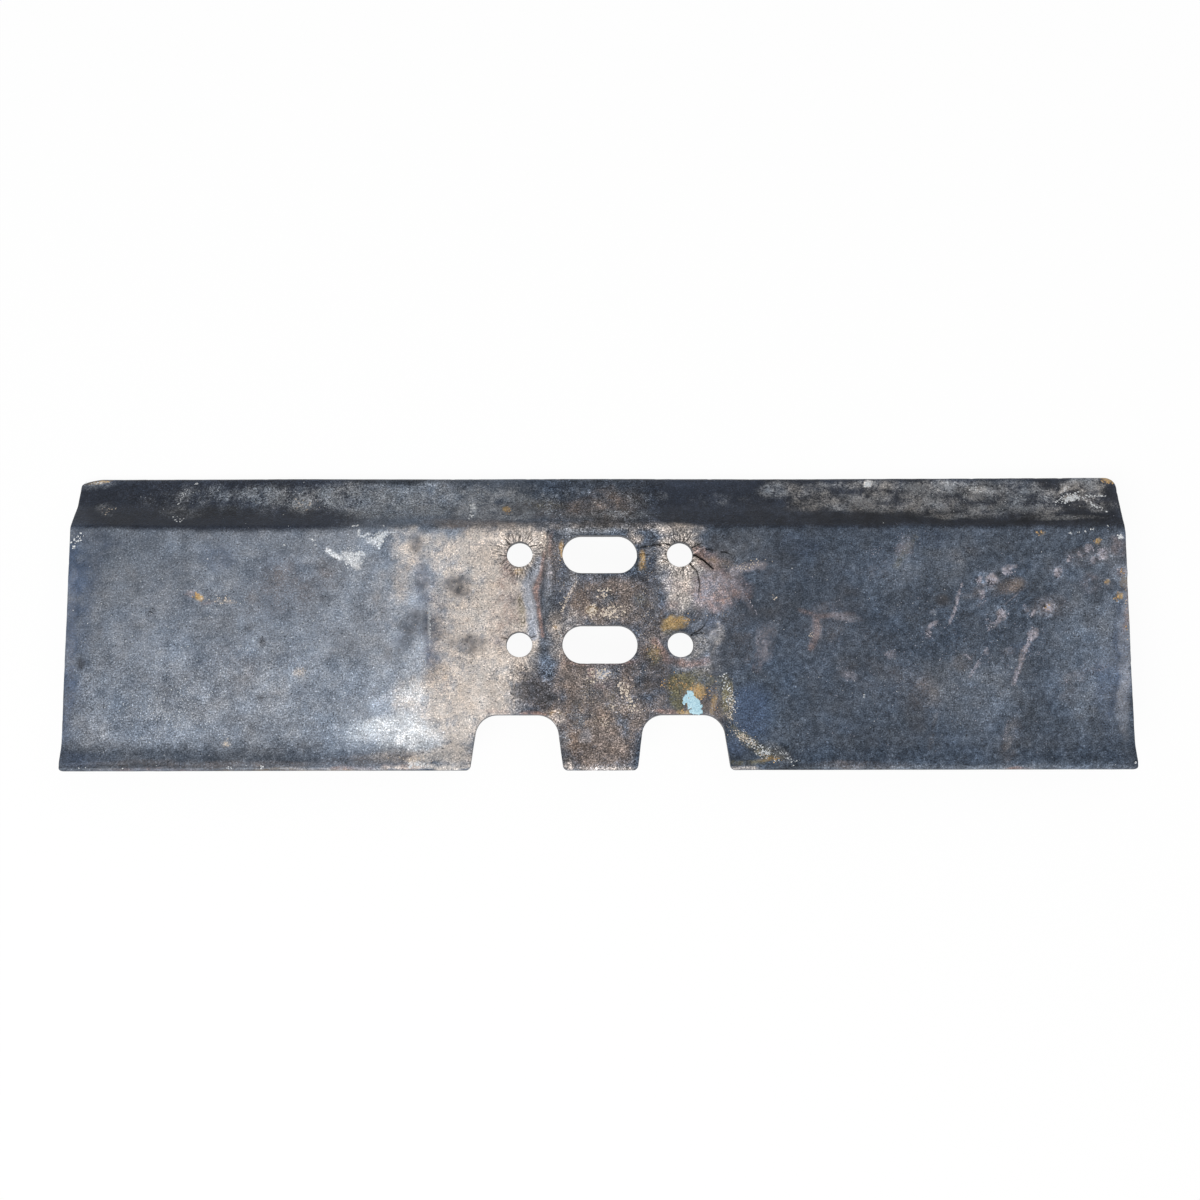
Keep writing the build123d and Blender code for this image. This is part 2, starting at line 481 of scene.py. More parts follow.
def opening_cutters(upper):
    """Tools for the bolt holes, the mud slots and the notches."""
    half_x, half_y = (spacing / 2 for spacing in BOLT_SPACING)
    tools = []
    for row, y in (("front", half_y), ("rear", -half_y)):
        for side, x in (("left", -half_x), ("right", half_x)):
            hole = circle_outline(BOLT_HOLE_RADIUS)
            tools.append(cutter(f"drill_{row}_{side}", hole, (x, y), 0.0, UNDERSIDE, DRILLED_EDGE))
        slot = slot_outline(SLOT_LENGTH, SLOT_WIDTH)
        tools.append(cutter(f"punch_{row}", slot, (0.0, y), 0.0, UNDERSIDE, PUNCHED_EDGE))
    outline = notch_outline()
    y = np.clip(outline[:, 1], REAR_EDGE + EDGE_INSET, None)
    tops = level_at(upper, y)
    thinning = (RIM_TOP - RIM_THICKNESS - UNDERSIDE) / (REAR_EDGE - THINNING_START)
    bases = np.where(y < THINNING_START, UNDERSIDE + (y - THINNING_START) * thinning, UNDERSIDE)
    for side in (-1, 1):
        place = (side * NOTCH_SPACING / 2, 0.0)
        tools.append(cutter(f"torch_{side}", outline, place, tops, bases, FLAME_CUT_EDGE))
    return tools


# Lines

def lengths_along(knots):
    """How far along a line of straight runs each of its knots lies."""
    runs = np.linalg.norm(np.diff(knots, axis=0), axis=1)
    return np.concatenate([[0.0], np.cumsum(runs)])


def places_along(knots, at):
    """The points of a line of straight runs at the given lengths along it."""
    passed = lengths_along(knots)
    return np.column_stack([np.interp(at, passed, knots[:, k]) for k in (0, 1)])


def path_distance(across, down, pixels):
    """Distance in pixels from each point to a line of straight runs, and the share of the line passed there."""
    knots = np.array(pixels, float)
    runs = np.linalg.norm(np.diff(knots, axis=0), axis=1)
    passed = lengths_along(knots)
    best, share = np.full(across.shape, np.inf), np.zeros(across.shape)
    for i, run in enumerate(runs):
        heading = (knots[i + 1] - knots[i]) / run
        dx, dy = across - knots[i, 0], down - knots[i, 1]
        along = np.clip(dx * heading[0] + dy * heading[1], 0.0, run)
        gap = np.hypot(dx - along * heading[0], dy - along * heading[1])
        nearer = gap < best
        best = np.where(nearer, gap, best)
        share = np.where(nearer, (passed[i] + along) / passed[-1], share)
    return best, share


# Cracks

# Each crack by the pixels it passes in the photograph, its greatest width and its depth in millimetres
CRACKS_PX = (
    ([(691, 555), (697, 556), (703, 560), (708, 564), (713, 569)], 1.1, 2.4),
    ([(689, 563), (693, 567), (697, 571), (698, 576), (700, 584), (698, 598)], 0.42, 1.1),
    ([(673, 546), (668, 544), (662, 543)], 0.65, 1.3),
    ([(661, 545), (654, 545), (647, 546), (639, 548)], 0.6, 1.4),
    ([(688, 638), (694, 633), (700, 630), (705, 625)], 0.42, 1.0),
    ([(695, 634), (701, 633), (706, 634)], 0.34, 0.7), ([(640, 554), (644, 554), (649, 555)], 0.5, 0.9),
    ([(692, 548), (697, 545), (702, 543)], 0.45, 0.9),
    ([(706, 549), (710, 549), (713, 551)], 0.45, 0.8),
    ([(721, 552), (726, 552), (731, 555)], 0.45, 0.8),
    ([(678, 543), (676, 540), (674, 538)], 0.45, 0.8), ([(683, 543), (684, 539)], 0.45, 0.8),
    ([(683, 567), (683, 571)], 0.45, 0.8), ([(670, 559), (666, 561), (661, 563)], 0.45, 0.8),
    ([(512, 547), (507, 542), (504, 538)], 0.42, 0.8),
    ([(519, 545), (519, 539), (521, 535)], 0.42, 0.8),
    ([(527, 549), (532, 546), (538, 545)], 0.42, 0.8),
    ([(511, 555), (505, 556), (500, 555)], 0.42, 0.8),
    ([(527, 640), (532, 637), (536, 636)], 0.42, 0.8), ([(510, 640), (505, 638), (501, 638)], 0.4, 0.7),
)
# Points along a crack, then its wander and its uneven width: strength, cell and seed, with each crack at its
# own level of the noise
CRACK_STEP, CRACK_LEAST_POINTS = 0.7, 6
CRACK_WANDER, CRACK_WANDER_CELL, CRACK_WANDER_SEEDS = 0.28, 2.2, (40, 41)
CRACK_UNEVEN, CRACK_UNEVEN_CELL, CRACK_UNEVEN_SEED = 0.3, 1.7, 43
CRACK_NOISE_GAP = 11.0
# What is left of a crack's squared width and depth at its tip, and how far its blade stands proud
TIP_WIDTH_LEFT, TIP_DEPTH_LEFT, BLADE_ABOVE = 0.02, 0.03, 0.5


def crack_tool(number, pixels, width, depth):
    """A closed blade along a smoothed line. Its section is a narrow wedge, with its edge down in the metal, and
    it fades from the greatest width at the start to nothing at the tip as the square root of what is left."""
    knots = link_face_point(pixels)[:, :2]
    length = lengths_along(knots)[-1]
    count = max(CRACK_LEAST_POINTS, int(length / CRACK_STEP))
    at = np.linspace(0.0, length, count)
    line = places_along(knots, at)
    wander = np.column_stack([line, np.full(count, number * CRACK_NOISE_GAP)])
    drift = [value_noise(wander, CRACK_WANDER_CELL, seed) for seed in CRACK_WANDER_SEEDS]
    line += CRACK_WANDER * np.column_stack(drift)
    along = np.gradient(line, axis=0)
    along /= np.linalg.norm(along, axis=1)[:, None]
    side = np.column_stack([-along[:, 1], along[:, 0]])
    left = np.clip(1.0 - at / length, 0.0, 1.0)
    uneven = 1.0 + CRACK_UNEVEN * value_noise(wander, CRACK_UNEVEN_CELL, CRACK_UNEVEN_SEED)
    half = 0.5 * width * np.sqrt(left + TIP_WIDTH_LEFT) * uneven
    deep = depth * np.sqrt(left + TIP_DEPTH_LEFT)
    reach = half * (1.0 + BLADE_ABOVE / deep)
    loops = np.empty((count, 3, 3))
    loops[:, 0, :2], loops[:, 0, 2] = line + side * reach[:, None], BLADE_ABOVE
    loops[:, 1, :2], loops[:, 1, 2] = line - side * reach[:, None], BLADE_ABOVE
    loops[:, 2, :2], loops[:, 2, 2] = line, -deep
    return new_piece(f"crack_{number}", loops.reshape(-1, 3), closed_tube((count, 3)))


def cut(piece, tools):
    """The piece less every tool, made real. The tools are joined into one first, and deleted after."""
    corners, faces, offset = [], [], 0
    for tool in tools:
        mesh = tool.data
        count = len(mesh.vertices)
        place = np.empty(count * 3)
        mesh.vertices.foreach_get("co", place)
        corners.append(place.reshape(-1, 3) / MM)
        faces += [[v + offset for v in face.vertices] for face in mesh.polygons]
        offset += count
        bpy.data.objects.remove(tool)
    joined = new_piece("tools", np.concatenate(corners), faces)
    modifier = piece.modifiers.new("cut", "BOOLEAN")
    modifier.operation = "DIFFERENCE"
    modifier.solver = "MANIFOLD"
    modifier.object = joined
    evaluated = piece.evaluated_get(bpy.context.evaluated_depsgraph_get())
    result = bpy.data.meshes.new_from_object(evaluated)
    piece.modifiers.clear()
    piece.data = result
    bpy.data.objects.remove(joined)


# Relief

# Dings by pixel, radius and depth in millimetres: a struck hollow inside a pushed-up rim
DINGS = (
    (978, 580, 3.6, 0.5), (985, 577, 2.8, 0.4), (991, 581, 4.0, 0.6), (999, 574, 3.6, 0.5),
    (1008, 570, 2.6, 0.35), (983, 597, 3.2, 0.4), (1001, 614, 4.2, 0.6), (1024, 612, 2.6, 0.4),
    (1033, 616, 2.8, 0.4), (1047, 607, 4.4, 0.7), (1058, 573, 3.4, 0.45), (1070, 558, 2.4, 0.3),
    (1097, 560, 3.2, 0.4), (1104, 553, 3.0, 0.4), (1120, 572, 3.6, 0.5), (1117, 597, 3.0, 0.4),
    (1105, 582, 2.2, 0.3), (1039, 533, 3.4, 0.4), (929, 634, 4.0, 0.4), (196, 596, 3.0, 0.35),
)
# Gouges and ridges by the pixels they pass, with half width and height in millimetres
GOUGES = (
    ([(1033, 628), (1026, 648), (1015, 680)], 1.8, -0.35),
    ([(962, 585), (957, 605), (951, 623)], 1.5, -0.2),
    ([(1010, 605), (998, 620), (987, 632)], 1.5, -0.2),
    ([(986, 648), (978, 660), (971, 675)], 1.5, -0.25), ([(250, 699), (263, 697)], 1.5, -0.3),
    ([(430, 608), (430, 650)], 1.4, -0.2),
    ([(553, 528), (549, 560), (543, 585), (543, 610), (546, 640)], 1.9, 0.28),
    ([(547, 712), (515, 704), (510, 672)], 1.8, -0.22),
    ([(674, 662), (684, 669), (698, 667), (706, 658)], 1.7, -0.25),
    ([(655, 552), (659, 590), (662, 640)], 2.0, -0.2),
)
# The size of a photograph's pixel on the link face, in millimetres
PIXEL_MM = 0.565
# Noise on the skin changes more slowly with height, so that it doesn't streak on the steep lip
FLATTENING = (1.0, 1.0, 0.4)

# Each part of the relief: height, cell, seed, and its octaves if it has some. Pits are where the noise is high,
# and to the right they and the grain get rougher.
WAVES, ROLLED_SCALE = (0.22, 85.0, 1, 2), (0.10, 11.0, 5, 3)
PITS_RELIEF, PIT_LEVELS = (0.22, 3.4, 9), (0.42, 0.85)
GRAIN_RELIEF = (0.045, 2.5, 12)
ROUGH_LEFT, ROUGHER_RIGHT, ROUGHER_PX = 0.6, 0.7, (650.0, 900.0)
# A ding's hollow and rim, and a gouge's start and what its end has lost of its depth
HOLLOW_STEEPNESS, DING_RIM_HEIGHT, DING_RIM_WIDTH = 2.2, 0.6, 0.35
GOUGE_START, GOUGE_FADE = 0.1, 0.6
# Each link's worn seat by pixel: centre and half sizes. Then their depth, their edge in pixels and its noise.
FOOTPRINTS = ((520, 615, 31, 92), (690, 612, 33, 88))
FOOTPRINT_SINK, FOOTPRINT_EDGE, FOOTPRINT_UNEVEN = 0.22, (-2.0, 3.0), (3.0, 14.0, 15)
# On the ground side: height, cell, seed and octaves, and the slopes between which it takes over
UNDER_RELIEF, UNDER_SLOPES = (0.10, 9.0, 21, 3), (0.2, -0.4)
# Between these heights above the ground the relief comes in, so that the bars' tips stay level
TIP_FADE_START, TIP_FADE_END = 0.2, 1.6


def noise_relief(points, height, cell, seed, octaves):
    """Fractal noise of a height."""
    return height * fractal_noise(points, cell, seed, octaves)


def relief(points):
    """Height of the worn surface over the rolled one: slow waves, rolled scale, pits that grow to the right,
    sunken link seats, dings and gouges."""
    flat = points * FLATTENING
    across, down = photo_pixel(points)
    rougher = ROUGH_LEFT + ROUGHER_RIGHT * smooth(*ROUGHER_PX, across)
    height = noise_relief(flat, *WAVES) + noise_relief(flat, *ROLLED_SCALE)
    depth, cell, seed = PITS_RELIEF
    height = height - depth * rougher * smooth(*PIT_LEVELS, value_noise(flat, cell, seed))
    rise, cell, seed = GRAIN_RELIEF
    height = height + rise * rougher * value_noise(flat, cell, seed)
    amount, cell, seed = FOOTPRINT_UNEVEN
    uneven = amount * value_noise(flat, cell, seed)
    for x, y, half_x, half_y in FOOTPRINTS:
        edge = np.maximum(np.abs(across - x) - half_x, np.abs(down - y) - half_y) + uneven
        height = height - FOOTPRINT_SINK * (1.0 - smooth(*FOOTPRINT_EDGE, edge))
    for x, y, radius, depth in DINGS:
        ratio = PIXEL_MM * np.hypot(across - x, down - y) / radius
        rim = DING_RIM_HEIGHT * depth * np.exp(-((ratio - 1.0) / DING_RIM_WIDTH) ** 2)
        height = height - depth * np.exp(-HOLLOW_STEEPNESS * ratio ** 2) + rim
    for pixels, half_width, rise in GOUGES:
        gap, share = path_distance(across, down, pixels)
        fade = smooth(0.0, GOUGE_START, share) * (1.0 - GOUGE_FADE * share)
        height = height + rise * fade * np.exp(-((PIXEL_MM * gap / half_width) ** 2))
    return height


def mesh_points(mesh):
    """The mesh's points in millimetres and their normals, as two arrays."""
    points, normals = np.empty((2, len(mesh.vertices) * 3), np.float32)
    mesh.vertices.foreach_get("co", points)
    mesh.vertices.foreach_get("normal", normals)
    return points.reshape(-1, 3) / MM, normals.reshape(-1, 3)


def wear_down(piece):
    """Moves each point of the piece along its normal by the relief. Where the metal faces down, only the slow
    part counts, and the tips of the ground bars stay level."""
    mesh = piece.data
    points, normals = mesh_points(mesh)
    height = relief(points)
    under = smooth(*UNDER_SLOPES, normals[:, 2])
    height = height * (1.0 - under) + noise_relief(points, *UNDER_RELIEF) * under
    level = smooth(GROUND + TIP_FADE_START, GROUND + TIP_FADE_END, points[:, 2])
    moved = points + normals * (height * level)[:, None]
    mesh.vertices.foreach_set("co", (moved * MM).astype(np.float32).ravel())
    mesh.update()
    return points, normals


# Stains and painted light

# Broad stains by layer, and patches of painted glints. Each is a patch by pixel: centre, half sizes, strength,
# and the turn in degrees if any.
PATCHES = {
    "pale_wear": (
        (320, 700, 130, 44, 0.3, -8), (440, 640, 60, 110, 0.4), (1095, 650, 45, 90, 0.26),
        (975, 690, 50, 40, 0.3, 20), (1115, 560, 20, 30, 0.24), (940, 560, 60, 25, 0.14, -20),
        (740, 545, 25, 20, 0.25), (530, 740, 40, 20, 0.3), (360, 600, 60, 60, 0.25),
        (570, 560, 12, 40, 0.2), (590, 531, 34, 4, 0.6), (575, 560, 8, 30, 0.24),
        (605, 767, 36, 4, 0.26), (330, 769, 80, 3, 0.1), (502, 690, 12, 26, 0.56),
        (950, 768, 180, 4, 0.36), (680, 660, 18, 14, 0.34), (575, 738, 8, 14, 0.44),
    ),
    # Where more painted glints go: bright specks that paint the metal's sheen
    "glint_patches": (
        (165, 722, 70, 26, 0.34, -12), (192, 690, 44, 22, 0.26, -34), (262, 716, 46, 12, 0.3, -30),
        (326, 728, 56, 14, 0.34, -10), (396, 732, 40, 22, 0.3, -8), (415, 694, 24, 36, 0.4, 10),
        (345, 705, 70, 12, 0.24, -28), (118, 700, 36, 20, 0.2), (436, 733, 26, 18, 0.24),
        (172, 650, 44, 18, 0.22, -36), (590, 740, 18, 14, 0.4), (570, 575, 12, 50, 0.4),
        (720, 700, 12, 30, 0.5), (590, 590, 30, 26, 0.3), (650, 600, 14, 60, 0.44),
        (660, 690, 18, 28, 0.4), (625, 535, 60, 8, 0.4), (590, 680, 24, 14, 0.4),
        (770, 752, 26, 10, 0.6, 30), (545, 660, 12, 24, 0.4), (600, 720, 40, 40, 0.3),
        (300, 498, 150, 16, 0.3), (950, 498, 160, 18, 0.3),
    ),
    "clay": (
        (480, 640, 50, 116, 0.6), (446, 580, 40, 56, 0.18), (488, 615, 20, 50, 0.26),
        (406, 553, 16, 20, 0.5, 8), (438, 544, 26, 12, 0.46), (476, 548, 22, 20, 0.58),
        (486, 590, 20, 34, 0.54), (458, 612, 16, 14, 0.3), (448, 562, 20, 16, 0.34, 10),
        (492, 640, 18, 34, 0.44), (452, 664, 18, 16, 0.36), (478, 700, 26, 36, 0.58),
        (446, 700, 50, 34, 0.42), (448, 728, 28, 20, 0.68), (402, 590, 14, 24, 0.26),
        (526, 638, 12, 18, 0.44), (516, 538, 30, 12, 0.56), (558, 634, 11, 26, 0.36),
        (572, 620, 8, 12, 0.26), (404, 530, 18, 7, 0.4), (704, 592, 14, 12, 0.24),
        (566, 763, 6, 8, 0.36), (632, 758, 6, 8, 0.12), (412, 540, 16, 14, 0.3),
        (440, 754, 24, 9, 0.44), (398, 757, 30, 8, 0.4), (444, 726, 16, 14, 0.3),
        (430, 768, 50, 3, 0.7), (742, 768, 16, 3, 0.5), (666, 566, 11, 22, 0.4),
        (676, 542, 16, 10, 0.4), (694, 564, 12, 12, 0.36), (634, 538, 9, 8, 0.4),
        (672, 634, 10, 8, 0.36), (558, 718, 9, 9, 0.3), (408, 700, 24, 22, 0.26),
        (522, 550, 30, 24, 0.58), (512, 590, 24, 34, 0.46), (514, 640, 28, 34, 0.46),
        (496, 690, 16, 28, 0.26), (680, 550, 24, 18, 0.46), (679, 588, 14, 28, 0.6),
        (700, 590, 30, 26, 0.2), (680, 530, 26, 7, 0.46), (716, 634, 8, 12, 0.4), (558, 632, 4, 9, 0.4),
        (700, 655, 24, 26, 0.36), (842, 616, 20, 5, 0.2, 6), (814, 632, 6, 12, 0.14, 15),
        (519, 540, 26, 12, 0.4), (904, 552, 10, 20, 0.12, 20), (935, 690, 5, 18, 0.12, 14),
        (1008, 736, 5, 18, 0.22, 18), (452, 754, 32, 8, 0.44), (762, 640, 9, 24, 0.08),
        (225, 600, 14, 3, 0.36), (300, 673, 8, 6, 0.34), (226, 743, 5, 4, 0.46),
        (960, 555, 22, 10, 0.16, -10), (590, 526, 100, 5, 0.24), (418, 762, 14, 5, 0.66),
        (470, 762, 30, 6, 0.46), (605, 610, 40, 16, 0.1), (600, 700, 40, 40, 0.08),
        (605, 768, 34, 3, 0.34), (330, 769, 70, 3, 0.3), (384, 600, 18, 38, 0.24),
    ),
    "earth": (
        (606, 600, 40, 30, 0.74), (600, 700, 54, 62, 0.66), (600, 745, 34, 34, 0.7),
        (660, 690, 30, 44, 0.34), (700, 710, 34, 30, 0.46), (612, 505, 34, 20, 0.5),
        (555, 508, 60, 12, 0.44), (545, 690, 34, 24, 0.46), (575, 655, 20, 34, 0.5),
        (720, 576, 28, 22, 0.34), (740, 640, 16, 40, 0.28), (826, 628, 26, 24, 0.22),
        (1084, 556, 44, 14, 0.26, -18), (996, 590, 34, 9, 0.36, -10), (930, 700, 18, 34, 0.1, 10),
        (1010, 740, 12, 30, 0.26, 10), (370, 760, 60, 8, 0.4), (200, 764, 140, 5, 0.36),
        (650, 640, 20, 90, 0.36), (860, 765, 60, 6, 0.36), (230, 668, 40, 26, 0.2, 20),
        (530, 600, 30, 80, 0.22), (700, 600, 34, 60, 0.3), (470, 524, 60, 5, 0.36),
        (890, 680, 60, 30, 0.22, 20), (300, 580, 60, 30, 0.18, -20), (560, 560, 20, 40, 0.3),
        (1055, 606, 30, 14, 0.34), (1118, 560, 14, 24, 0.3), (1008, 584, 20, 10, 0.24),
        (961, 662, 14, 12, 0.26), (1072, 697, 16, 14, 0.26), (280, 590, 60, 50, 0.16),
        (690, 704, 20, 14, 0.3), (625, 732, 22, 16, 0.3),
    ),
    "soot_and_shade": (
        (459, 585, 15, 14, 0.56), (470, 643, 20, 12, 0.48, 12), (418, 543, 9, 11, 0.44),
        (416, 620, 16, 22, 0.44, 20), (430, 642, 9, 26, 0.26, 10), (424, 576, 9, 16, 0.4),
        (446, 640, 9, 12, 0.34), (398, 650, 12, 20, 0.3, 20), (480, 668, 10, 8, 0.2),
        (532, 690, 22, 14, 0.6, 8), (547, 699, 9, 11, 0.88), (511, 690, 3, 20, 0.46),
        (650, 590, 9, 60, 0.44), (655, 680, 9, 26, 0.42), (720, 660, 14, 40, 0.48),
        (708, 628, 10, 14, 0.5), (770, 560, 30, 24, 0.3), (735, 615, 14, 14, 0.4),
        (724, 545, 26, 14, 0.56), (560, 600, 9, 40, 0.36), (848, 600, 12, 20, 0.34, 10),
        (768, 610, 20, 20, 0.3), (150, 612, 8, 6, 0.4, -20), (82, 663, 5, 7, 0.52),
        (262, 642, 5, 6, 0.56), (236, 678, 3, 3, 0.4), (248, 628, 8, 5, 0.42, -30),
        (324, 598, 4, 4, 0.44), (140, 540, 7, 6, 0.3), (194, 640, 5, 4, 0.32), (340, 640, 16, 14, 0.26),
        (102, 628, 4, 8, 0.3), (944, 600, 9, 7, 0.5), (918, 715, 16, 22, 0.36), (600, 690, 4, 4, 0.6),
        (575, 700, 8, 10, 0.4), (715, 730, 7, 9, 0.6), (230, 720, 14, 8, 0.26, -20),
        (300, 724, 24, 5, 0.3, -10), (640, 700, 8, 10, 0.36), (800, 600, 90, 80, 0.24),
        (850, 690, 60, 50, 0.24), (600, 720, 30, 30, 0.3), (258, 698, 6, 2, 0.6, -6),
        # The patch at pixel (610, 518) lies along the bend: soot and painted shade in the crease
        (960, 740, 160, 14, 0.22), (610, 518, 70, 6, 0.4), (700, 700, 12, 10, 0.3),
        (1000, 575, 20, 10, 0.3, -20),
    ),
    "haze": (
        (752, 712, 22, 30, 0.72), (738, 738, 14, 18, 0.48), (712, 624, 9, 6, 0.56),
        (68, 640, 9, 120, 0.66, 2), (88, 560, 26, 50, 0.36), (84, 760, 40, 9, 0.4),
        (222, 550, 24, 18, 0.26), (423, 576, 8, 34, 0.36, 4), (434, 628, 11, 58, 0.56),
        (412, 628, 14, 18, 0.3, 20), (76, 640, 20, 116, 0.42, 2), (104, 538, 22, 10, 0.34),
        (559, 715, 8, 9, 0.4), (524, 678, 14, 8, 0.34), (436, 676, 10, 9, 0.3), (757, 550, 16, 14, 0.3),
        (727, 703, 7, 14, 0.5), (656, 684, 10, 12, 0.44), (1129, 668, 6, 30, 0.4),
        (220, 560, 20, 14, 0.3), (648, 565, 7, 30, 0.42), (665, 608, 8, 8, 0.5),
        (1112, 690, 20, 60, 0.46), (1122, 640, 8, 60, 0.5), (585, 580, 12, 6, 0.4),
        (800, 545, 26, 14, 0.36), (935, 540, 20, 12, 0.36), (640, 545, 12, 8, 0.4),
        (735, 746, 8, 9, 0.7), (714, 673, 5, 7, 0.5), (690, 640, 6, 6, 0.34), (1020, 650, 14, 10, 0.36),
        (575, 665, 12, 10, 0.4), (565, 590, 9, 40, 0.4), (530, 695, 26, 16, 0.34),
    ),
    "bloom": (
        (549, 585, 5, 22, 0.4), (604, 674, 10, 5, 0.6), (585, 735, 7, 9, 0.46),
        (70, 640, 8, 110, 0.3, 2), (170, 769, 110, 3, 0.3), (1127, 640, 8, 110, 0.56, 2),
        (1110, 650, 14, 90, 0.2), (700, 625, 8, 6, 0.4), (575, 546, 5, 8, 0.36),
        (655, 605, 5, 20, 0.34), (648, 552, 6, 8, 0.46), (935, 612, 5, 4, 0.36),
    ),
    "scuff": (
        (979, 580, 3, 5, 0.6), (991, 580, 6, 6, 0.62), (667, 581, 8, 16, 0.4), (714, 590, 26, 22, 0.6),
        (762, 642, 8, 22, 0.46), (1006, 571, 6, 6, 0.74, 30), (1014, 568, 4, 3, 0.5),
        (983, 595, 4, 5, 0.62), (981, 605, 3, 5, 0.44), (1001, 614, 5, 6, 0.72, -20),
        (1024, 609, 3, 5, 0.44), (1032, 613, 3, 4, 0.74), (1048, 608, 6, 6, 0.64),
        (1056, 572, 5, 6, 0.62), (1069, 559, 4, 2, 0.7, 40), (1080, 554, 4, 2, 0.62, 45),
        (1087, 548, 5, 4, 0.6, 50), (1094, 560, 4, 4, 0.52, 50), (1104, 554, 6, 7, 0.66),
        (1120, 572, 5, 5, 0.66), (1105, 582, 3, 3, 0.46), (929, 634, 4, 8, 0.62, 10),
        (935, 625, 7, 3, 0.54, -24), (889, 656, 6, 5, 0.46), (1031, 634, 5, 7, 0.66, 20),
        (1023, 655, 3, 20, 0.56, 20), (1015, 677, 3, 8, 0.46, 10), (974, 667, 2, 10, 0.5, 34),
        (968, 657, 4, 2, 0.5, 44), (986, 652, 4, 5, 0.5), (995, 622, 3, 9, 0.4, 38),
        (956, 605, 2, 20, 0.36, 14), (845, 618, 18, 4, 0.46, 6), (815, 632, 8, 14, 0.36),
        (850, 675, 12, 6, 0.36, 30), (745, 595, 4, 26, 0.36, -28), (905, 550, 14, 10, 0.34, -30),
        (1085, 672, 26, 8, 0.26, -20), (700, 715, 20, 3, 0.3), (875, 640, 30, 20, 0.16),
        (770, 640, 8, 24, 0.34), (880, 570, 20, 12, 0.18), (1050, 700, 40, 30, 0.12),
        (830, 610, 26, 12, 0.26, 12), (1010, 652, 10, 6, 0.3),
    ),
    "ochre": (
        (677, 622, 15, 8, 0.74, -8), (664, 627, 6, 4, 0.44), (697, 692, 8, 9, 0.64, -30),
        (690, 700, 6, 10, 0.6), (682, 712, 9, 3, 0.66), (640, 562, 5, 12, 0.56),
        (1122, 582, 5, 10, 0.3), (688, 697, 6, 8, 0.3), (563, 550, 3, 12, 0.56), (197, 596, 4, 4, 0.8),
        (508, 510, 5, 4, 0.66), (1117, 597, 4, 4, 0.66), (1047, 606, 3, 3, 0.56),
        (1098, 541, 4, 4, 0.5), (1105, 582, 3, 3, 0.5), (1128, 596, 3, 34, 0.24),
        (1121, 571, 3, 3, 0.46), (768, 759, 14, 3, 0.44, -4), (556, 627, 3, 3, 0.6),
        (712, 702, 4, 14, 0.36), (560, 713, 14, 3, 0.3), (1106, 481, 12, 2, 0.5, 16),
        (655, 655, 6, 6, 0.4), (520, 570, 6, 4, 0.42), (300, 771, 120, 3, 0.3), (712, 560, 8, 5, 0.24),
        (1040, 534, 5, 3, 0.46), (592, 610, 7, 5, 0.36), (100, 482, 16, 2, 0.4, -6),
        (1047, 608, 3, 4, 0.6),
    ),
    "olive": (
        (679, 684, 16, 12, 0.66), (655, 655, 9, 12, 0.54), (672, 628, 14, 8, 0.3),
        (521, 608, 5, 16, 0.42), (700, 680, 16, 12, 0.46), (675, 700, 10, 12, 0.54),
        (540, 505, 30, 8, 0.34), (720, 690, 6, 26, 0.34), (640, 600, 8, 10, 0.28),
        (752, 744, 26, 7, 0.6, 36), (727, 698, 8, 26, 0.6, -6), (745, 762, 22, 4, 0.5),
        (600, 700, 40, 40, 0.2),
    ),
    "salmon": (
        (714, 592, 26, 20, 0.62), (604, 686, 12, 6, 0.3), (712, 560, 14, 12, 0.42, 20),
        (680, 590, 10, 22, 0.24), (534, 713, 16, 3, 0.8), (670, 713, 18, 3, 0.74),
        (551, 545, 3, 16, 0.42, 2), (700, 551, 9, 6, 0.5), (704, 597, 4, 5, 0.5),
        (510, 590, 12, 60, 0.34), (592, 672, 8, 6, 0.5), (190, 594, 6, 6, 0.26), (208, 601, 12, 3, 0.3),
        (1018, 769, 14, 3, 0.5), (1127, 610, 3, 30, 0.36), (370, 768, 60, 4, 0.4),
        (150, 770, 60, 3, 0.3), (1120, 545, 14, 14, 0.3), (1096, 584, 20, 12, 0.24),
        (600, 662, 40, 5, 0.4), (760, 660, 9, 16, 0.3), (495, 620, 10, 50, 0.26),
        (672, 604, 10, 10, 0.26), (740, 585, 20, 12, 0.3, 40), (505, 712, 30, 3, 0.3),
    ),
    "dust": (
        (105, 509, 12, 7, 0.34), (95, 486, 24, 5, 0.3, -6), (184, 497, 8, 14, 0.16, 30),
        (222, 498, 12, 12, 0.28), (262, 494, 24, 10, 0.42), (302, 499, 32, 12, 0.5),
        (350, 495, 30, 13, 0.46), (392, 500, 28, 16, 0.52), (430, 497, 26, 16, 0.54),
        (470, 500, 24, 16, 0.48), (505, 500, 26, 10, 0.4), (180, 514, 24, 6, 0.18),
        (300, 500, 180, 20, 0.22), (778, 489, 22, 9, 0.5), (812, 498, 26, 12, 0.34),
        (806, 508, 20, 4, 0.26), (846, 503, 26, 8, 0.48), (872, 497, 20, 6, 0.42),
        (915, 500, 16, 10, 0.38), (938, 488, 30, 7, 0.48), (936, 506, 26, 9, 0.44),
        (976, 494, 18, 6, 0.54), (990, 510, 30, 6, 0.5), (1010, 500, 20, 12, 0.38),
        (1038, 510, 26, 6, 0.5), (1030, 488, 14, 6, 0.38), (1066, 486, 20, 6, 0.5, -20),
        (1090, 492, 16, 10, 0.5), (1098, 507, 22, 7, 0.4), (1060, 518, 50, 3, 0.46),
        (960, 517, 40, 3, 0.5), (640, 500, 12, 10, 0.18), (664, 496, 8, 6, 0.2),
        (720, 500, 30, 8, 0.22), (930, 500, 150, 20, 0.18), (600, 500, 60, 18, 0.22),
        (860, 485, 60, 5, 0.4), (950, 484, 50, 5, 0.26), (1096, 481, 20, 4, 0.6),
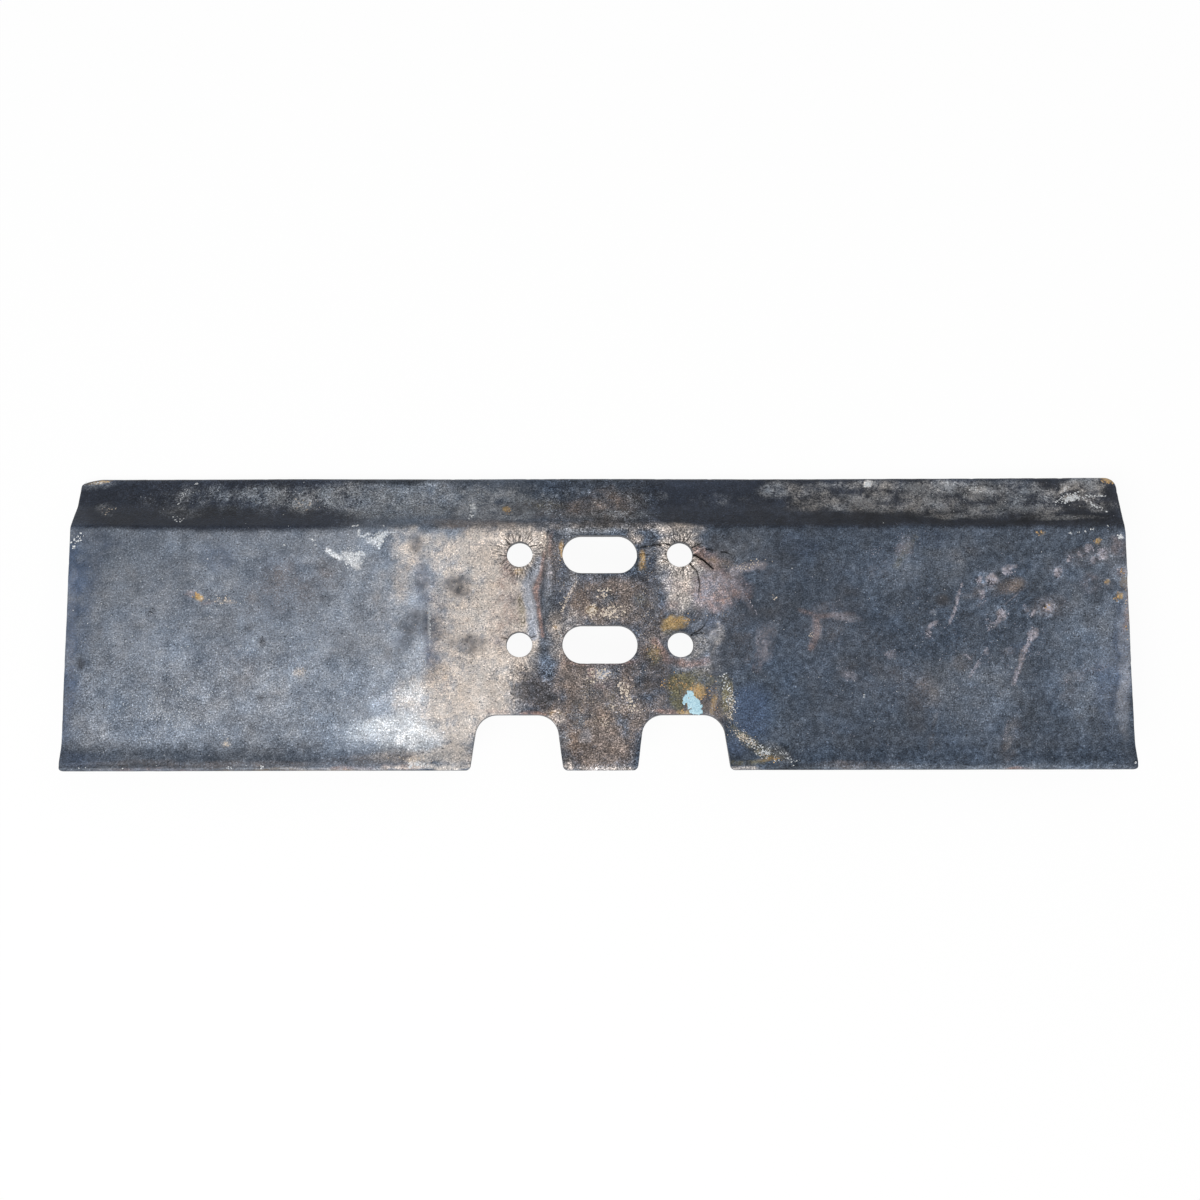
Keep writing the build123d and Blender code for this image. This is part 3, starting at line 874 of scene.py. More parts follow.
        (1048, 496, 12, 8, 0.4), (1010, 487, 40, 7, 0.44), (1085, 486, 26, 6, 0.4),
        (900, 509, 60, 5, 0.3), (505, 496, 56, 14, 0.26), (400, 512, 60, 8, 0.46),
        (500, 514, 60, 8, 0.44), (610, 516, 50, 6, 0.3),
    ),
    # White chalk, and in the patches between pixels (362, 700) and (422, 738) a painted sheen
    "whiting_and_sheen": (
        (868, 484, 5, 4, 0.6), (1070, 497, 9, 4, 0.34, -14), (976, 489, 10, 4, 0.4),
        (1090, 503, 10, 2, 0.4, 30), (1063, 489, 6, 3, 0.4, -40), (473, 507, 3, 5, 0.45),
        (776, 752, 20, 8, 0.26, 30), (416, 764, 8, 3, 0.4), (396, 733, 38, 20, 0.5, -4),
        (422, 738, 26, 15, 0.44), (410, 700, 20, 28, 0.3, 8), (362, 730, 30, 12, 0.3, -10),
    ),
}
# Narrow stains by layer: the pixels they pass, half width in pixels and strength
STROKES = (
    ("bloom", [(540, 562), (533, 574), (528, 583), (526, 590), (530, 604), (532, 616), (533, 636)], 5.6, 0.88),
    ("bloom", [(548, 568), (546, 596)], 3.0, 0.34),
    ("salmon", [(545, 553), (542, 568), (538, 581), (536, 593), (539, 603), (539, 613), (541, 624),
                (543, 636)], 2.6, 0.56),
    ("salmon", [(540, 578), (536, 590), (538, 598)], 3.6, 0.5),
    ("salmon", [(716, 569), (730, 580), (747, 594)], 7.0, 0.4),
    ("salmon", [(693, 549), (704, 552)], 3.5, 0.5),
    ("salmon", [(655, 642), (668, 660), (690, 665), (708, 660)], 5.0, 0.5),
    ("salmon", [(800, 610), (818, 616), (853, 614)], 3.0, 0.42),
    ("salmon", [(815, 616), (817, 632), (811, 647)], 4.0, 0.5),
    ("earth", [(518, 567), (524, 574)], 4.0, 0.66),
    ("soot_and_shade", [(547, 532), (547, 556), (543, 571), (542, 590), (542, 606), (544, 622), (546, 640)], 1.3, 0.62),
    ("soot_and_shade", [(640, 545), (644, 553), (645, 562)], 3.0, 0.5),
    ("soot_and_shade", [(712, 676), (715, 700)], 1.2, 0.6), ("olive", [(520, 600), (523, 624)], 3.0, 0.5),
    ("olive", [(733, 727), (757, 745), (782, 757)], 4.0, 0.44),
    ("whiting_and_sheen", [(327, 551), (341, 559)], 2.3, 0.86),
    ("whiting_and_sheen", [(344, 554), (352, 563), (357, 568)], 3.4, 0.56),
    ("whiting_and_sheen", [(350, 556), (358, 561)], 5.0, 0.5), ("whiting_and_sheen", [(356, 555), (364, 555)], 2.6, 0.54),
    ("whiting_and_sheen", [(369, 541), (377, 541)], 3.4, 0.5), ("whiting_and_sheen", [(374, 543), (384, 534)], 2.8, 0.6),
    ("whiting_and_sheen", [(382, 536), (379, 547)], 2.6, 0.62),
    ("whiting_and_sheen", [(359, 531), (360, 536), (364, 537), (370, 534)], 1.2, 0.66),
    ("whiting_and_sheen", [(385, 533), (397, 531)], 1.0, 0.5), ("whiting_and_sheen", [(429, 610), (430, 648)], 0.8, 0.44),
    ("clay", [(513, 671), (514, 712)], 1.2, 0.66),
    ("clay", [(577, 581), (566, 600), (561, 619)], 1.0, 0.5),
    ("clay", [(682, 567), (681, 592)], 4.0, 0.6),
    ("scuff", [(733, 571), (745, 567), (763, 565)], 4.4, 0.9),
    ("scuff", [(1034, 629), (1027, 648), (1014, 684)], 2.0, 0.6),
    ("scuff", [(962, 583), (956, 605), (950, 623)], 1.1, 0.9),
    ("scuff", [(1018, 593), (1003, 606)], 0.9, 0.56), ("scuff", [(993, 620), (988, 629)], 1.0, 0.56),
    ("scuff", [(964, 654), (971, 660)], 1.2, 0.6), ("scuff", [(979, 664), (969, 677)], 1.7, 0.56),
    ("scuff", [(740, 588), (752, 606)], 1.2, 0.5), ("earth", [(980, 585), (1008, 590)], 3.0, 0.36),
    ("olive", [(897, 566), (908, 548), (916, 536)], 5.0, 0.34),
    ("earth", [(934, 680), (937, 712), (930, 748)], 4.0, 0.26),
)
# Cover of pale wear on the left field and on the right, where they meet, and what the rear curl's painted shade
# takes from it
LEFT_WEAR, RIGHT_WEAR, MIDDLE_PX = 0.55, 0.14, (400.0, 560.0)
CURL_SHADE, CURL_PX = 0.30, (742.0, 756.0)

# The lip's grease and painted shade: how far before and after the bend they come in, the share rubbed off in
# the middle, the smear and painted shade before the bend on the right, and the pixels of those parts
GREASE_SHADE_BEFORE, BEFORE_RIGHT, BEFORE_FAINT = 4.0, 2.0, 3.0
GREASE_SHADE_AFTER, AFTER_RIGHT = 2.2, 3.0
GREASE_SHADE_RUB, SMEAR_AND_SHADE, SMEAR_AND_SHADE_REACH = 0.62, 0.34, 16.0
RIGHT_PX, FAINT_PX, RUBBED_PX = (640.0, 760.0), (110.0, 200.0, 340.0, 420.0), (300.0, 400.0, 600.0, 700.0)
GREASE_SHADE_WAVER, GREASE_SHADE_WAVER_CELL, GREASE_SHADE_WAVER_SEED = 0.8, 9.0, 81

# How far noise moves the patches, how much more across, and how much less the strokes
STAIN_WARP_PX, WIDER_ACROSS, STROKE_WARP = 4.0, 1.6, 0.4
# Noises as cell, seed, octaves and the share of strength that each octave keeps
WARP_NOISES = ((16.0, 61, 4, 0.7), (16.0, 71, 4, 0.7))
STROKE_NOISE, TONE_NOISE, WARMTH_NOISE = (5.0, 301, 3, 0.9), (24.0, 91, 4, 1.0), (30.0, 95, 4, 0.9)
# The blotches' first seed, the step to the next layer's, their octaves and the share kept
BLOTCH_SEED, SEEDS_APART, BLOTCH_OCTAVES, BLOTCH_KEEP = 200, 10, 3, 0.9

# The shares of its size at which a patch, a box of grain, a stroke or a crack's painted shade is full and gone
PATCH_FULL, PATCH_GONE = 0.5, 1.35
BOX_FULL, BOX_GONE, BOX_BORDER_PX = 0.8, 1.2, 4.0
STROKE_FULL, STROKE_GONE, STROKE_UNEVEN = 0.2, 1.7, 0.5
CRACK_FULL, CRACK_GONE, CRACK_SPREAD_PX = 0.7, 1.4, 0.25
# How dark the painted shade inside a crack is, and what a wider crack adds to it
CRACK_SHADE, CRACK_SHADE_BY_WIDTH = 0.45, 0.6
# A ding's rim of painted light: tone, place and width by its radius. Then the painted shade in its hollow: tone
# and width.
RIM_LIGHT, RIM_LIGHT_AT, RIM_LIGHT_WIDTH = 1.1, 0.95, 0.4
HOLLOW_SHADE, HOLLOW_SHADE_WIDTH = 0.9, 0.5
# The slopes between which the stains end and the ground side's finish fades, and the heights above the ground
# between which the rub of the bars' tips does
STAINED_SLOPES, UNDER_FINISH = (-0.15, 0.25), (-0.3, 0.3)
TIP_RUB_START, TIP_RUB_END = 0.3, 3.0

# Layers from the metal up: colour, roughness, metallic share, then the grain and the softness of their edges,
# and the cell in millimetres and the strength of the blotches that break them
LAYERS = (
    ("pale_wear", (146, 153, 164), 0.50, 0.40, 1.2, 0.46, 18.0, 0.5),
    # The lip's dark layer: grease, and painted shade on the lip and over its bend
    ("grease_and_shade", (48, 54, 66), 0.50, 0.25, 0.4, 0.40, 12.0, 0.1),
    ("haze", (72, 85, 106), 0.42, 0.30, 0.9, 0.44, 12.0, 0.6),
    ("earth", (112, 102, 97), 0.75, 0.00, 1.6, 0.42, 14.0, 0.8),
    ("clay", (198, 188, 180), 0.80, 0.00, 1.5, 0.50, 7.0, 0.8),
    ("bloom", (153, 157, 167), 0.60, 0.10, 1.4, 0.42, 8.0, 0.4),
    ("salmon", (142, 118, 111), 0.75, 0.00, 1.8, 0.42, 8.0, 0.9),
    ("scuff", (142, 138, 145), 0.55, 0.20, 2.8, 0.40, 5.0, 0.6),
    # Soot, and painted shade in the crease of the bend
    ("soot_and_shade", (62, 64, 70), 0.62, 0.10, 1.6, 0.48, 8.0, 0.7),
    ("olive", (104, 99, 78), 0.80, 0.00, 2.2, 0.40, 7.0, 0.9),
    ("dust", (130, 134, 140), 0.80, 0.00, 3.0, 0.44, 6.5, 1.1),
    ("ochre", (174, 148, 104), 0.85, 0.00, 3.2, 0.40, 5.0, 0.9),
    # Whiting, which in some patches also paints a sheen
    ("whiting_and_sheen", (222, 225, 229), 0.80, 0.00, 1.4, 0.46, 8.0, 0.5),
)

# The unevenness of tone by region, by pixel: centre and half sizes, then what it adds to the mottle, the grain
# and the warmth. Tone is a logarithm of light.
GRAIN_REGIONS = (
    (600, 640, 56, 160, 1.6, 1.45, 0.022), (532, 688, 20, 22, 0.6, 1.2, 0.0),
    (695, 612, 42, 110, 0.0, 0.25, 0.006), (455, 640, 75, 130, 0.5, 0.0, 0.0),
    (900, 655, 280, 140, 1.2, 0.5, -0.01), (600, 500, 580, 23, 0.7, -0.05, -0.014),
    (950, 500, 190, 20, 1.6, 0.0, 0.06), (290, 498, 170, 18, 0.8, 0.7, 0.0),
    (240, 710, 190, 50, 0.4, 0.36, 0.0), (400, 732, 60, 26, -0.6, -0.3, 0.0),
)
TONE_STRENGTH, TONE_BRIGHTS, WARMTH_STRENGTH = 0.25, 0.6, 0.085
BLOTCH_STRENGTH = 1.15
# Slow lights and shades over the stains by pixel: centre, half sizes, tone, and the turn in degrees if any
TONES = (
    (200, 517, 180, 9, -0.3), (900, 518, 260, 9, -0.26), (480, 517, 150, 8, 0.1),
    (960, 519, 240, 7, -0.35), (1040, 485, 14, 6, -0.25), (700, 500, 60, 14, 0.12),
    (950, 545, 220, 14, -0.16), (800, 768, 22, 4, -0.75), (782, 752, 13, 8, -0.6),
    (743, 644, 11, 11, -0.36), (768, 642, 11, 16, -0.36), (530, 671, 18, 9, -0.3),
    (438, 672, 16, 12, -0.28), (446, 626, 20, 12, -0.22), (466, 658, 12, 10, -0.26),
    (245, 769, 40, 4, -0.4), (294, 718, 12, 12, -0.28), (266, 700, 18, 9, -0.3),
    (198, 730, 14, 10, -0.14), (234, 717, 12, 10, -0.14), (89, 534, 20, 9, -0.34),
    (1125, 568, 8, 16, -0.34), (637, 506, 14, 12, -0.38), (805, 504, 16, 8, -0.44),
    (983, 677, 14, 12, -0.22), (740, 531, 22, 12, -0.34), (520, 498, 16, 16, -0.24),
    (998, 583, 14, 10, -0.42), (1103, 554, 10, 12, -0.3), (630, 610, 12, 10, -0.16),
    (472, 533, 14, 8, -0.22), (1097, 506, 14, 6, -0.36), (620, 710, 12, 10, -0.14),
    (621, 753, 12, 10, -0.16), (605, 608, 14, 9, -0.14), (960, 661, 12, 12, -0.34),
    (417, 741, 14, 7, -0.22), (968, 509, 14, 6, -0.34), (853, 502, 14, 8, -0.3),
    (1073, 618, 22, 12, -0.28), (81, 722, 12, 16, -0.14), (361, 516, 20, 6, -0.3),
    (575, 670, 10, 14, -0.14), (1077, 680, 12, 12, -0.16), (216, 512, 46, 6, -0.36),
    (572, 512, 14, 8, -0.16), (575, 573, 9, 10, -0.14), (767, 692, 10, 12, -0.18),
    (308, 636, 22, 12, -0.12, 20), (484, 555, 10, 10, -0.1), (650, 641, 8, 12, -0.14),
    (270, 484, 50, 4, -0.28), (400, 481, 50, 4, -0.9), (914, 488, 12, 14, -0.34),
    (980, 485, 16, 5, -0.34), (512, 543, 14, 8, 0.48), (713, 628, 12, 10, 0.6),
    (694, 563, 10, 10, 0.18), (664, 569, 8, 12, 0.18), (564, 632, 8, 14, 0.14),
    (380, 708, 14, 12, 0.44), (422, 709, 10, 12, 0.26), (558, 718, 9, 11, 0.36),
    (346, 750, 22, 8, 0.38), (202, 692, 14, 12, 0.46), (1048, 496, 10, 9, 0.22),
    (1007, 516, 16, 5, 0.8), (396, 639, 12, 10, 0.32), (116, 482, 20, 5, 0.42),
    (415, 605, 10, 10, 0.38), (288, 564, 26, 10, 0.3), (297, 752, 18, 8, 0.34), (584, 768, 14, 4, 0.12),
    (666, 602, 8, 10, 0.28), (634, 658, 10, 8, 0.5), (173, 692, 14, 12, 0.26), (944, 703, 12, 14, 0.24),
    (180, 647, 14, 12, 0.28), (369, 547, 10, 10, 0.26), (478, 702, 12, 12, 0.18),
    (469, 575, 9, 9, 0.12), (501, 650, 12, 14, 0.1), (963, 743, 16, 12, 0.4), (1081, 767, 30, 4, 0.36),
    (755, 572, 12, 10, 0.2), (605, 682, 13, 14, 0.4), (75, 581, 12, 16, 0.28), (685, 713, 8, 5, 0.16),
    (208, 750, 20, 7, 0.2), (605, 742, 12, 10, 0.26), (1079, 738, 14, 10, 0.18),
    (1081, 581, 12, 9, 0.16), (1023, 541, 14, 8, 0.16), (165, 745, 14, 8, 0.14),
    (880, 713, 14, 12, 0.16), (999, 740, 12, 10, 0.16), (156, 588, 16, 10, 0.12),
    (126, 616, 14, 12, 0.12), (775, 490, 14, 8, 0.14), (760, 483, 400, 8, 0.2),
    (140, 538, 70, 14, -0.1), (240, 536, 70, 10, -0.1), (800, 531, 60, 7, -0.12),
    (1020, 536, 90, 12, 0.14), (700, 532, 40, 9, 0.08), (110, 560, 30, 60, -0.1),
    (178, 662, 40, 20, 0.12, -30), (100, 482, 20, 3, 0.5, -6), (300, 482, 160, 4, 0.14),
    (150, 495, 60, 10, -0.1), (396, 736, 44, 22, 0.16), (180, 724, 120, 20, 0.22, -6),
    (270, 668, 70, 34, 0.16), (130, 572, 60, 34, -0.24), (950, 755, 210, 8, 0.14),
    (519, 535, 30, 10, 0.1), (605, 735, 40, 34, 0.22), (600, 660, 60, 30, 0.1), (640, 740, 6, 30, -0.1),
    (606, 705, 40, 30, 0.14), (120, 767, 90, 3, -0.68), (773, 757, 16, 5, -0.2),
    (950, 755, 160, 8, 0.06), (610, 502, 36, 22, 0.04), (524, 513, 20, 6, -0.2),
    (620, 768, 14, 4, -0.32), (754, 662, 12, 12, -0.2), (262, 489, 24, 6, -0.2),
    (1050, 605, 16, 9, -0.2), (666, 556, 8, 8, -0.14), (997, 686, 12, 12, -0.2),
    (212, 722, 14, 9, -0.12), (517, 676, 10, 7, -0.16), (778, 481, 14, 4, -0.3),
    (1127, 621, 5, 14, -0.16), (839, 768, 14, 4, -0.2), (877, 493, 12, 8, -0.18),
    (494, 582, 10, 9, -0.12), (497, 485, 16, 5, -0.24), (409, 684, 10, 10, -0.24),
    (96, 725, 12, 10, -0.12), (389, 523, 16, 5, -0.16), (1078, 704, 12, 12, -0.16),
    (470, 750, 10, 7, -0.1), (258, 630, 12, 10, -0.12), (620, 522, 20, 5, -0.14),
    (367, 729, 12, 10, -0.08), (1121, 712, 10, 14, -0.14), (1108, 482, 10, 5, 0.5),
    (1085, 480, 18, 4, 0.3), (958, 481, 20, 6, 0.5), (1010, 482, 30, 4, 0.26), (296, 487, 12, 6, 0.4),
    (670, 482, 60, 4, 0.18), (532, 549, 9, 10, 0.54), (731, 610, 10, 10, 0.5), (713, 655, 8, 8, 0.2),
    (335, 735, 14, 10, 0.18), (421, 571, 9, 12, 0.28), (444, 723, 12, 10, 0.16),
    (366, 769, 16, 4, 0.22), (423, 655, 9, 18, 0.3), (543, 664, 8, 9, 0.38), (402, 769, 14, 4, 0.18),
    (692, 546, 22, 8, 0.18), (533, 635, 8, 10, 0.14), (457, 561, 10, 8, 0.1), (930, 713, 10, 12, 0.22),
    (541, 578, 6, 10, 0.14), (318, 578, 12, 9, 0.12), (448, 532, 12, 6, 0.1), (1074, 503, 12, 6, 0.18),
    (489, 615, 10, 12, 0.1), (491, 714, 9, 5, 0.1), (589, 496, 12, 8, 0.3), (946, 686, 10, 9, 0.18),
    (557, 567, 7, 12, 0.12), (391, 734, 12, 8, 0.08), (78, 638, 8, 16, 0.12), (1057, 746, 14, 10, 0.2),
    (1023, 633, 9, 9, 0.18), (635, 765, 6, 5, -0.34), (772, 768, 14, 4, -0.5), (797, 765, 12, 4, -0.34),
    (776, 748, 12, 6, -0.26), (408, 526, 14, 5, -0.24), (712, 596, 22, 20, 0.12),
    (712, 616, 10, 9, 0.36), (541, 639, 8, 10, 0.22), (677, 541, 8, 8, 0.18), (360, 700, 14, 10, 0.14),
    (506, 556, 7, 6, 0.24), (919, 506, 12, 7, -0.22), (708, 633, 8, 6, 0.28), (450, 729, 10, 8, 0.12),
    (89, 580, 12, 14, 0.28),
)


def ellipse(across, down, x, y, half_x, half_y, turn=0.0):
    """1 in the full share of a turned ellipse, 0 past where it is gone, and a smoothstep of the distance from
    its centre between."""
    c, s = turn_parts(turn)
    u = ((across - x) * c + (down - y) * s) / half_x
    v = ((down - y) * c - (across - x) * s) / half_y
    return 1.0 - smooth(PATCH_FULL, PATCH_GONE, np.hypot(u, v))


def patch_strength(across, down, patches):
    """Cover of a layer's patches together: one less the product of what each leaves bare."""
    bare = np.ones(across.shape)
    for x, y, half_x, half_y, strength, *turn in patches:
        bare *= 1.0 - strength * ellipse(across, down, x, y, half_x, half_y, *turn)
    return 1.0 - bare


def soft_box(across, down, x, y, half_x, half_y):
    """1 inside a box by pixel, and 0 past its soft border."""
    inside = [1.0 - smooth(BOX_FULL * half, BOX_GONE * half + BOX_BORDER_PX, np.abs(at - middle))
              for at, middle, half in ((across, x, half_x), (down, y, half_y))]
    return inside[0] * inside[1]


def grease_and_shade_cover(across, flat, y):
    """Cover of the lip's dark grease and painted shade. It comes in over the bend along a wavering edge, wider
    on the right, where it also smears on the plate, and in the middle most of it is rubbed off."""
    bend = y + GREASE_SHADE_WAVER * value_noise(flat, GREASE_SHADE_WAVER_CELL, GREASE_SHADE_WAVER_SEED)
    right = smooth(*RIGHT_PX, across)
    faint = window(across, *FAINT_PX)
    start = BEND - GREASE_SHADE_BEFORE - BEFORE_RIGHT * right - BEFORE_FAINT * faint
    cover = smooth(start, BEND + GREASE_SHADE_AFTER + AFTER_RIGHT * right, bend)
    cover *= 1.0 - GREASE_SHADE_RUB * window(across, *RUBBED_PX)
    return np.maximum(cover, SMEAR_AND_SHADE * right * smooth(BEND - SMEAR_AND_SHADE_REACH, BEND, bend))


def slow_tone(across, down, warped, noisy):
    """The tone: noise with its brights pushed up, then the slow painted lights and shades, and each ding's rim
    of painted light and hollow of painted shade."""
    tone = noisy + TONE_BRIGHTS * noisy * np.abs(noisy)
    for x, y, half_x, half_y, lift, *turn in TONES:
        tone += lift * ellipse(*warped, x, y, half_x, half_y, *turn)
    for x, y, radius, depth in DINGS:
        ratio = PIXEL_MM * np.hypot(across - x, down - y) / radius
        rim = RIM_LIGHT * np.exp(-((ratio - RIM_LIGHT_AT) / RIM_LIGHT_WIDTH) ** 2)
        tone += depth * (rim - HOLLOW_SHADE * np.exp(-((ratio / HOLLOW_SHADE_WIDTH) ** 2)))
    return tone


def crack_shade_cover(across, down):
    """How dark the painted shade in the cracks is: full inside each one's width, which narrows to its tip, and
    darker where the crack is wider."""
    cover = np.zeros(across.shape)
    for pixels, width, _ in CRACKS_PX:
        gap, share = path_distance(across, down, pixels)
        half = 0.5 * width * np.sqrt(1.0 + TIP_WIDTH_LEFT - share) / PIXEL_MM + CRACK_SPREAD_PX
        dark = min(1.0, CRACK_SHADE + CRACK_SHADE_BY_WIDTH * width)
        cover = np.maximum(cover, dark * (1.0 - smooth(half * CRACK_FULL, half * CRACK_GONE, gap)))
    return cover


def store(piece, values):
    """Puts each named value on the piece as an attribute of its points."""
    for name, value in values.items():
        attribute = piece.data.attributes.new(name, "FLOAT", "POINT")
        attribute.data.foreach_set("value", value.astype(np.float32))


def stains_and_painted_light(piece, points, normals):
    """Puts each layer's cover on the piece as a value per point, the patches of painted glints among them, and
    with it the tone, which holds painted lights and shades, the warmth, the strength of the grain and the
    painted shade of the cracks. The patches' coordinates are warped by noise, their cover is broken by
    blotches, and none of them reaches the metal that faces down. Two more values tell that metal, and the tips
    of the bars."""
    across, down = photo_pixel(points)
    flat = points * FLATTENING
    warp = [STAIN_WARP_PX * fractal_noise(flat, *spec) for spec in WARP_NOISES]
    warped = across + warp[0] * WIDER_ACROSS, down + warp[1]
    values = {name: patch_strength(*warped, patches) for name, patches in PATCHES.items()}
    left = 1.0 - smooth(*MIDDLE_PX, across)
    # Less pale wear on the rear curl: painted shade
    field = (RIGHT_WEAR + (LEFT_WEAR - RIGHT_WEAR) * left) * (1.0 - CURL_SHADE * smooth(*CURL_PX, down))
    values["pale_wear"] = 1.0 - (1.0 - values["pale_wear"]) * (1.0 - field)
    # The lip's grease and painted shade
    values["grease_and_shade"] = grease_and_shade_cover(across, flat, points[:, 1])
    for order, (name, *_, cell, blotch) in enumerate(LAYERS):
        blotches = fractal_noise(flat, cell, BLOTCH_SEED + SEEDS_APART * order, BLOTCH_OCTAVES, BLOTCH_KEEP)
        values[name] = values[name] * (1.0 + blotch * BLOTCH_STRENGTH * blotches)

    nearby = across + STROKE_WARP * warp[0], down + STROKE_WARP * warp[1]
    uneven = 1.0 + STROKE_UNEVEN * fractal_noise(flat, *STROKE_NOISE)
    for name, pixels, half, strength in STROKES:
        gap, _ = path_distance(*nearby, pixels)
        cover = strength * uneven * (1.0 - smooth(half * STROKE_FULL, half * STROKE_GONE, gap))
        values[name] = np.maximum(values[name], cover)

    mottle, grit, warmth = np.ones(len(points)), np.ones(len(points)), np.zeros(len(points))
    for x, y, half_x, half_y, more_mottle, more_grit, more_warmth in GRAIN_REGIONS:
        share = soft_box(across, down, x, y, half_x, half_y)
        mottle += more_mottle * share
        grit += more_grit * share
        warmth += more_warmth * share
    noisy = TONE_STRENGTH * mottle * fractal_noise(flat, *TONE_NOISE)
    values["tone"] = slow_tone(across, down, warped, noisy)
    values["grit"] = grit
    values["warmth"] = warmth + WARMTH_STRENGTH * np.sqrt(mottle) * fractal_noise(flat, *WARMTH_NOISE)
    # The painted shade inside the cracks
    values["crack"] = crack_shade_cover(across, down)
    upper = smooth(*STAINED_SLOPES, normals[:, 2])
    store(piece, {name: value * upper for name, value in values.items()})
    under = 1.0 - smooth(*UNDER_FINISH, normals[:, 2])
    tip = 1.0 - smooth(GROUND + TIP_RUB_START, GROUND + TIP_RUB_END, points[:, 2])
    store(piece, {"under": under, "tip": tip})


SMOOTH_ANGLE = 38.0

shoe, upper_chain = plain_shoe()
cut(shoe, opening_cutters(upper_chain))
cut(shoe, [crack_tool(number, *crack) for number, crack in enumerate(CRACKS_PX)])
rolled_points, rolled_normals = wear_down(shoe)
stains_and_painted_light(shoe, rolled_points, rolled_normals)
shoe.data.polygons.foreach_set("use_smooth", np.ones(len(shoe.data.polygons), bool))
shoe.data.set_sharp_from_angle(angle=math.radians(SMOOTH_ANGLE))


# Node helpers

# The screen's curve: straight up to a level, then a shifted power
SCREEN_MOST, SCREEN_LEVEL, SCREEN_SLOPE, SCREEN_SHIFT, SCREEN_POWER = 255.0, 0.04045, 12.92, 0.055, 2.4
WHITE = (1.0, 1.0, 1.0, 1.0)
# The sockets of a Mix node by kind: factor, first, second and result
MIX_SOCKETS = {"RGBA": (0, 6, 7, 2), "FLOAT": (0, 2, 3, 0)}


def colour(red, green, blue):
    """A colour written as the screen shows it, 0 to 255, turned into the linear one that nodes take."""
    parts = np.array([red, green, blue]) / SCREEN_MOST
    curved = ((parts + SCREEN_SHIFT) / (1.0 + SCREEN_SHIFT)) ** SCREEN_POWER
    linear = np.where(parts <= SCREEN_LEVEL, parts / SCREEN_SLOPE, curved)
    return (*linear.tolist(), 1.0)


def put(tree, kind, inputs=None, **settings):
    """A new node with its settings, and with each named input linked where it is given a socket."""
    node = tree.nodes.new(kind)
    for name, value in settings.items():
        setattr(node, name, value)
    for name, value in (inputs or {}).items():
        if isinstance(value, bpy.types.NodeSocket):
            tree.links.new(value, node.inputs[name])
        else:
            node.inputs[name].default_value = value
    return node


def reckon(tree, operation, *values):
    """The result of a Math node."""
    return put(tree, "ShaderNodeMath", dict(enumerate(values)), operation=operation).outputs[0]


def centred(tree, value):
    """A noise's value less its middle."""
    return reckon(tree, "SUBTRACT", value, 0.5)


def vector(tree, operation, *values):
    """The result of a Vector Math node."""
    node = put(tree, "ShaderNodeVectorMath", dict(enumerate(values)), operation=operation)
    return node.outputs["Value" if operation == "LENGTH" else "Vector"]


def ramp(tree, value, low, high, to_low=0.0, to_high=1.0):
    """A smoothstep from low to high."""
    inputs = {"Value": value, "From Min": low, "From Max": high, "To Min": to_low, "To Max": to_high}
    return put(tree, "ShaderNodeMapRange", inputs, interpolation_type="SMOOTHSTEP").outputs["Result"]


def noise(tree, place, cell, detail, rough):
    """Noise with features of about the cell's size in millimetres."""
    inputs = {"Vector": place, "Scale": 1.0 / (cell * MM), "Detail": detail, "Roughness": rough}
    return put(tree, "ShaderNodeTexNoise", inputs).outputs["Fac"]


def blend(tree, kind, factor, first, second, mode="MIX"):
    """A Mix node on colours or on numbers."""
    *picks, result = MIX_SOCKETS[kind]
    inputs = dict(zip(picks, (factor, first, second)))
    return put(tree, "ShaderNodeMix", inputs, data_type=kind, blend_type=mode).outputs[result]


def new_group(name, inputs, outputs):
    """An empty node group with its sockets, and its input and output nodes."""
    tree = bpy.data.node_groups.new(name, "ShaderNodeTree")
    for label, kind in inputs:
        tree.interface.new_socket(label, in_out="INPUT", socket_type=f"NodeSocket{kind}")
    for label, kind in outputs:
        tree.interface.new_socket(label, in_out="OUTPUT", socket_type=f"NodeSocket{kind}")
    return tree, tree.nodes.new("NodeGroupInput"), tree.nodes.new("NodeGroupOutput")


def use_group(tree, group, inputs):
    """A node of the group with its inputs."""
    return put(tree, "ShaderNodeGroup", inputs, node_tree=group)


def new_material(name):
    """A material with an empty tree."""
    material = bpy.data.materials.new(name)
    material.use_nodes = True
    material.node_tree.nodes.clear()
    return material, material.node_tree


def own_place(tree):
    """The point on the piece, in its own coordinates."""
    return put(tree, "ShaderNodeTexCoord").outputs["Object"]


# Effects

# The wrinkles at a hole: their number round it, their change along the radius and from hole to hole, their
# noise, how thin they are, the spread of their reach and where they start to fade, and their strength at the
# middle and what the front adds
WRINKLE_SPOKES, WRINKLE_RINGS, WRINKLE_SHIFT = (9.0, 9.0, 9.0), 150.0, (17.0, 31.0, 0.0)
WRINKLE_DETAIL, WRINKLE_ROUGHNESS, WRINKLE_THIN = 2.0, 0.65, 0.07
WRINKLE_SPREAD, WRINKLE_FADE_START = 0.35, 0.35
WRINKLE_MIDDLE, WRINKLE_FRONT_MORE = 0.7, 0.3
# A pit's dark core and its rim by the cell, and how softly the share of pits sets in
PIT_CORE, PIT_RIM, PIT_SHARE_SOFT = 0.12, 0.38, 0.12


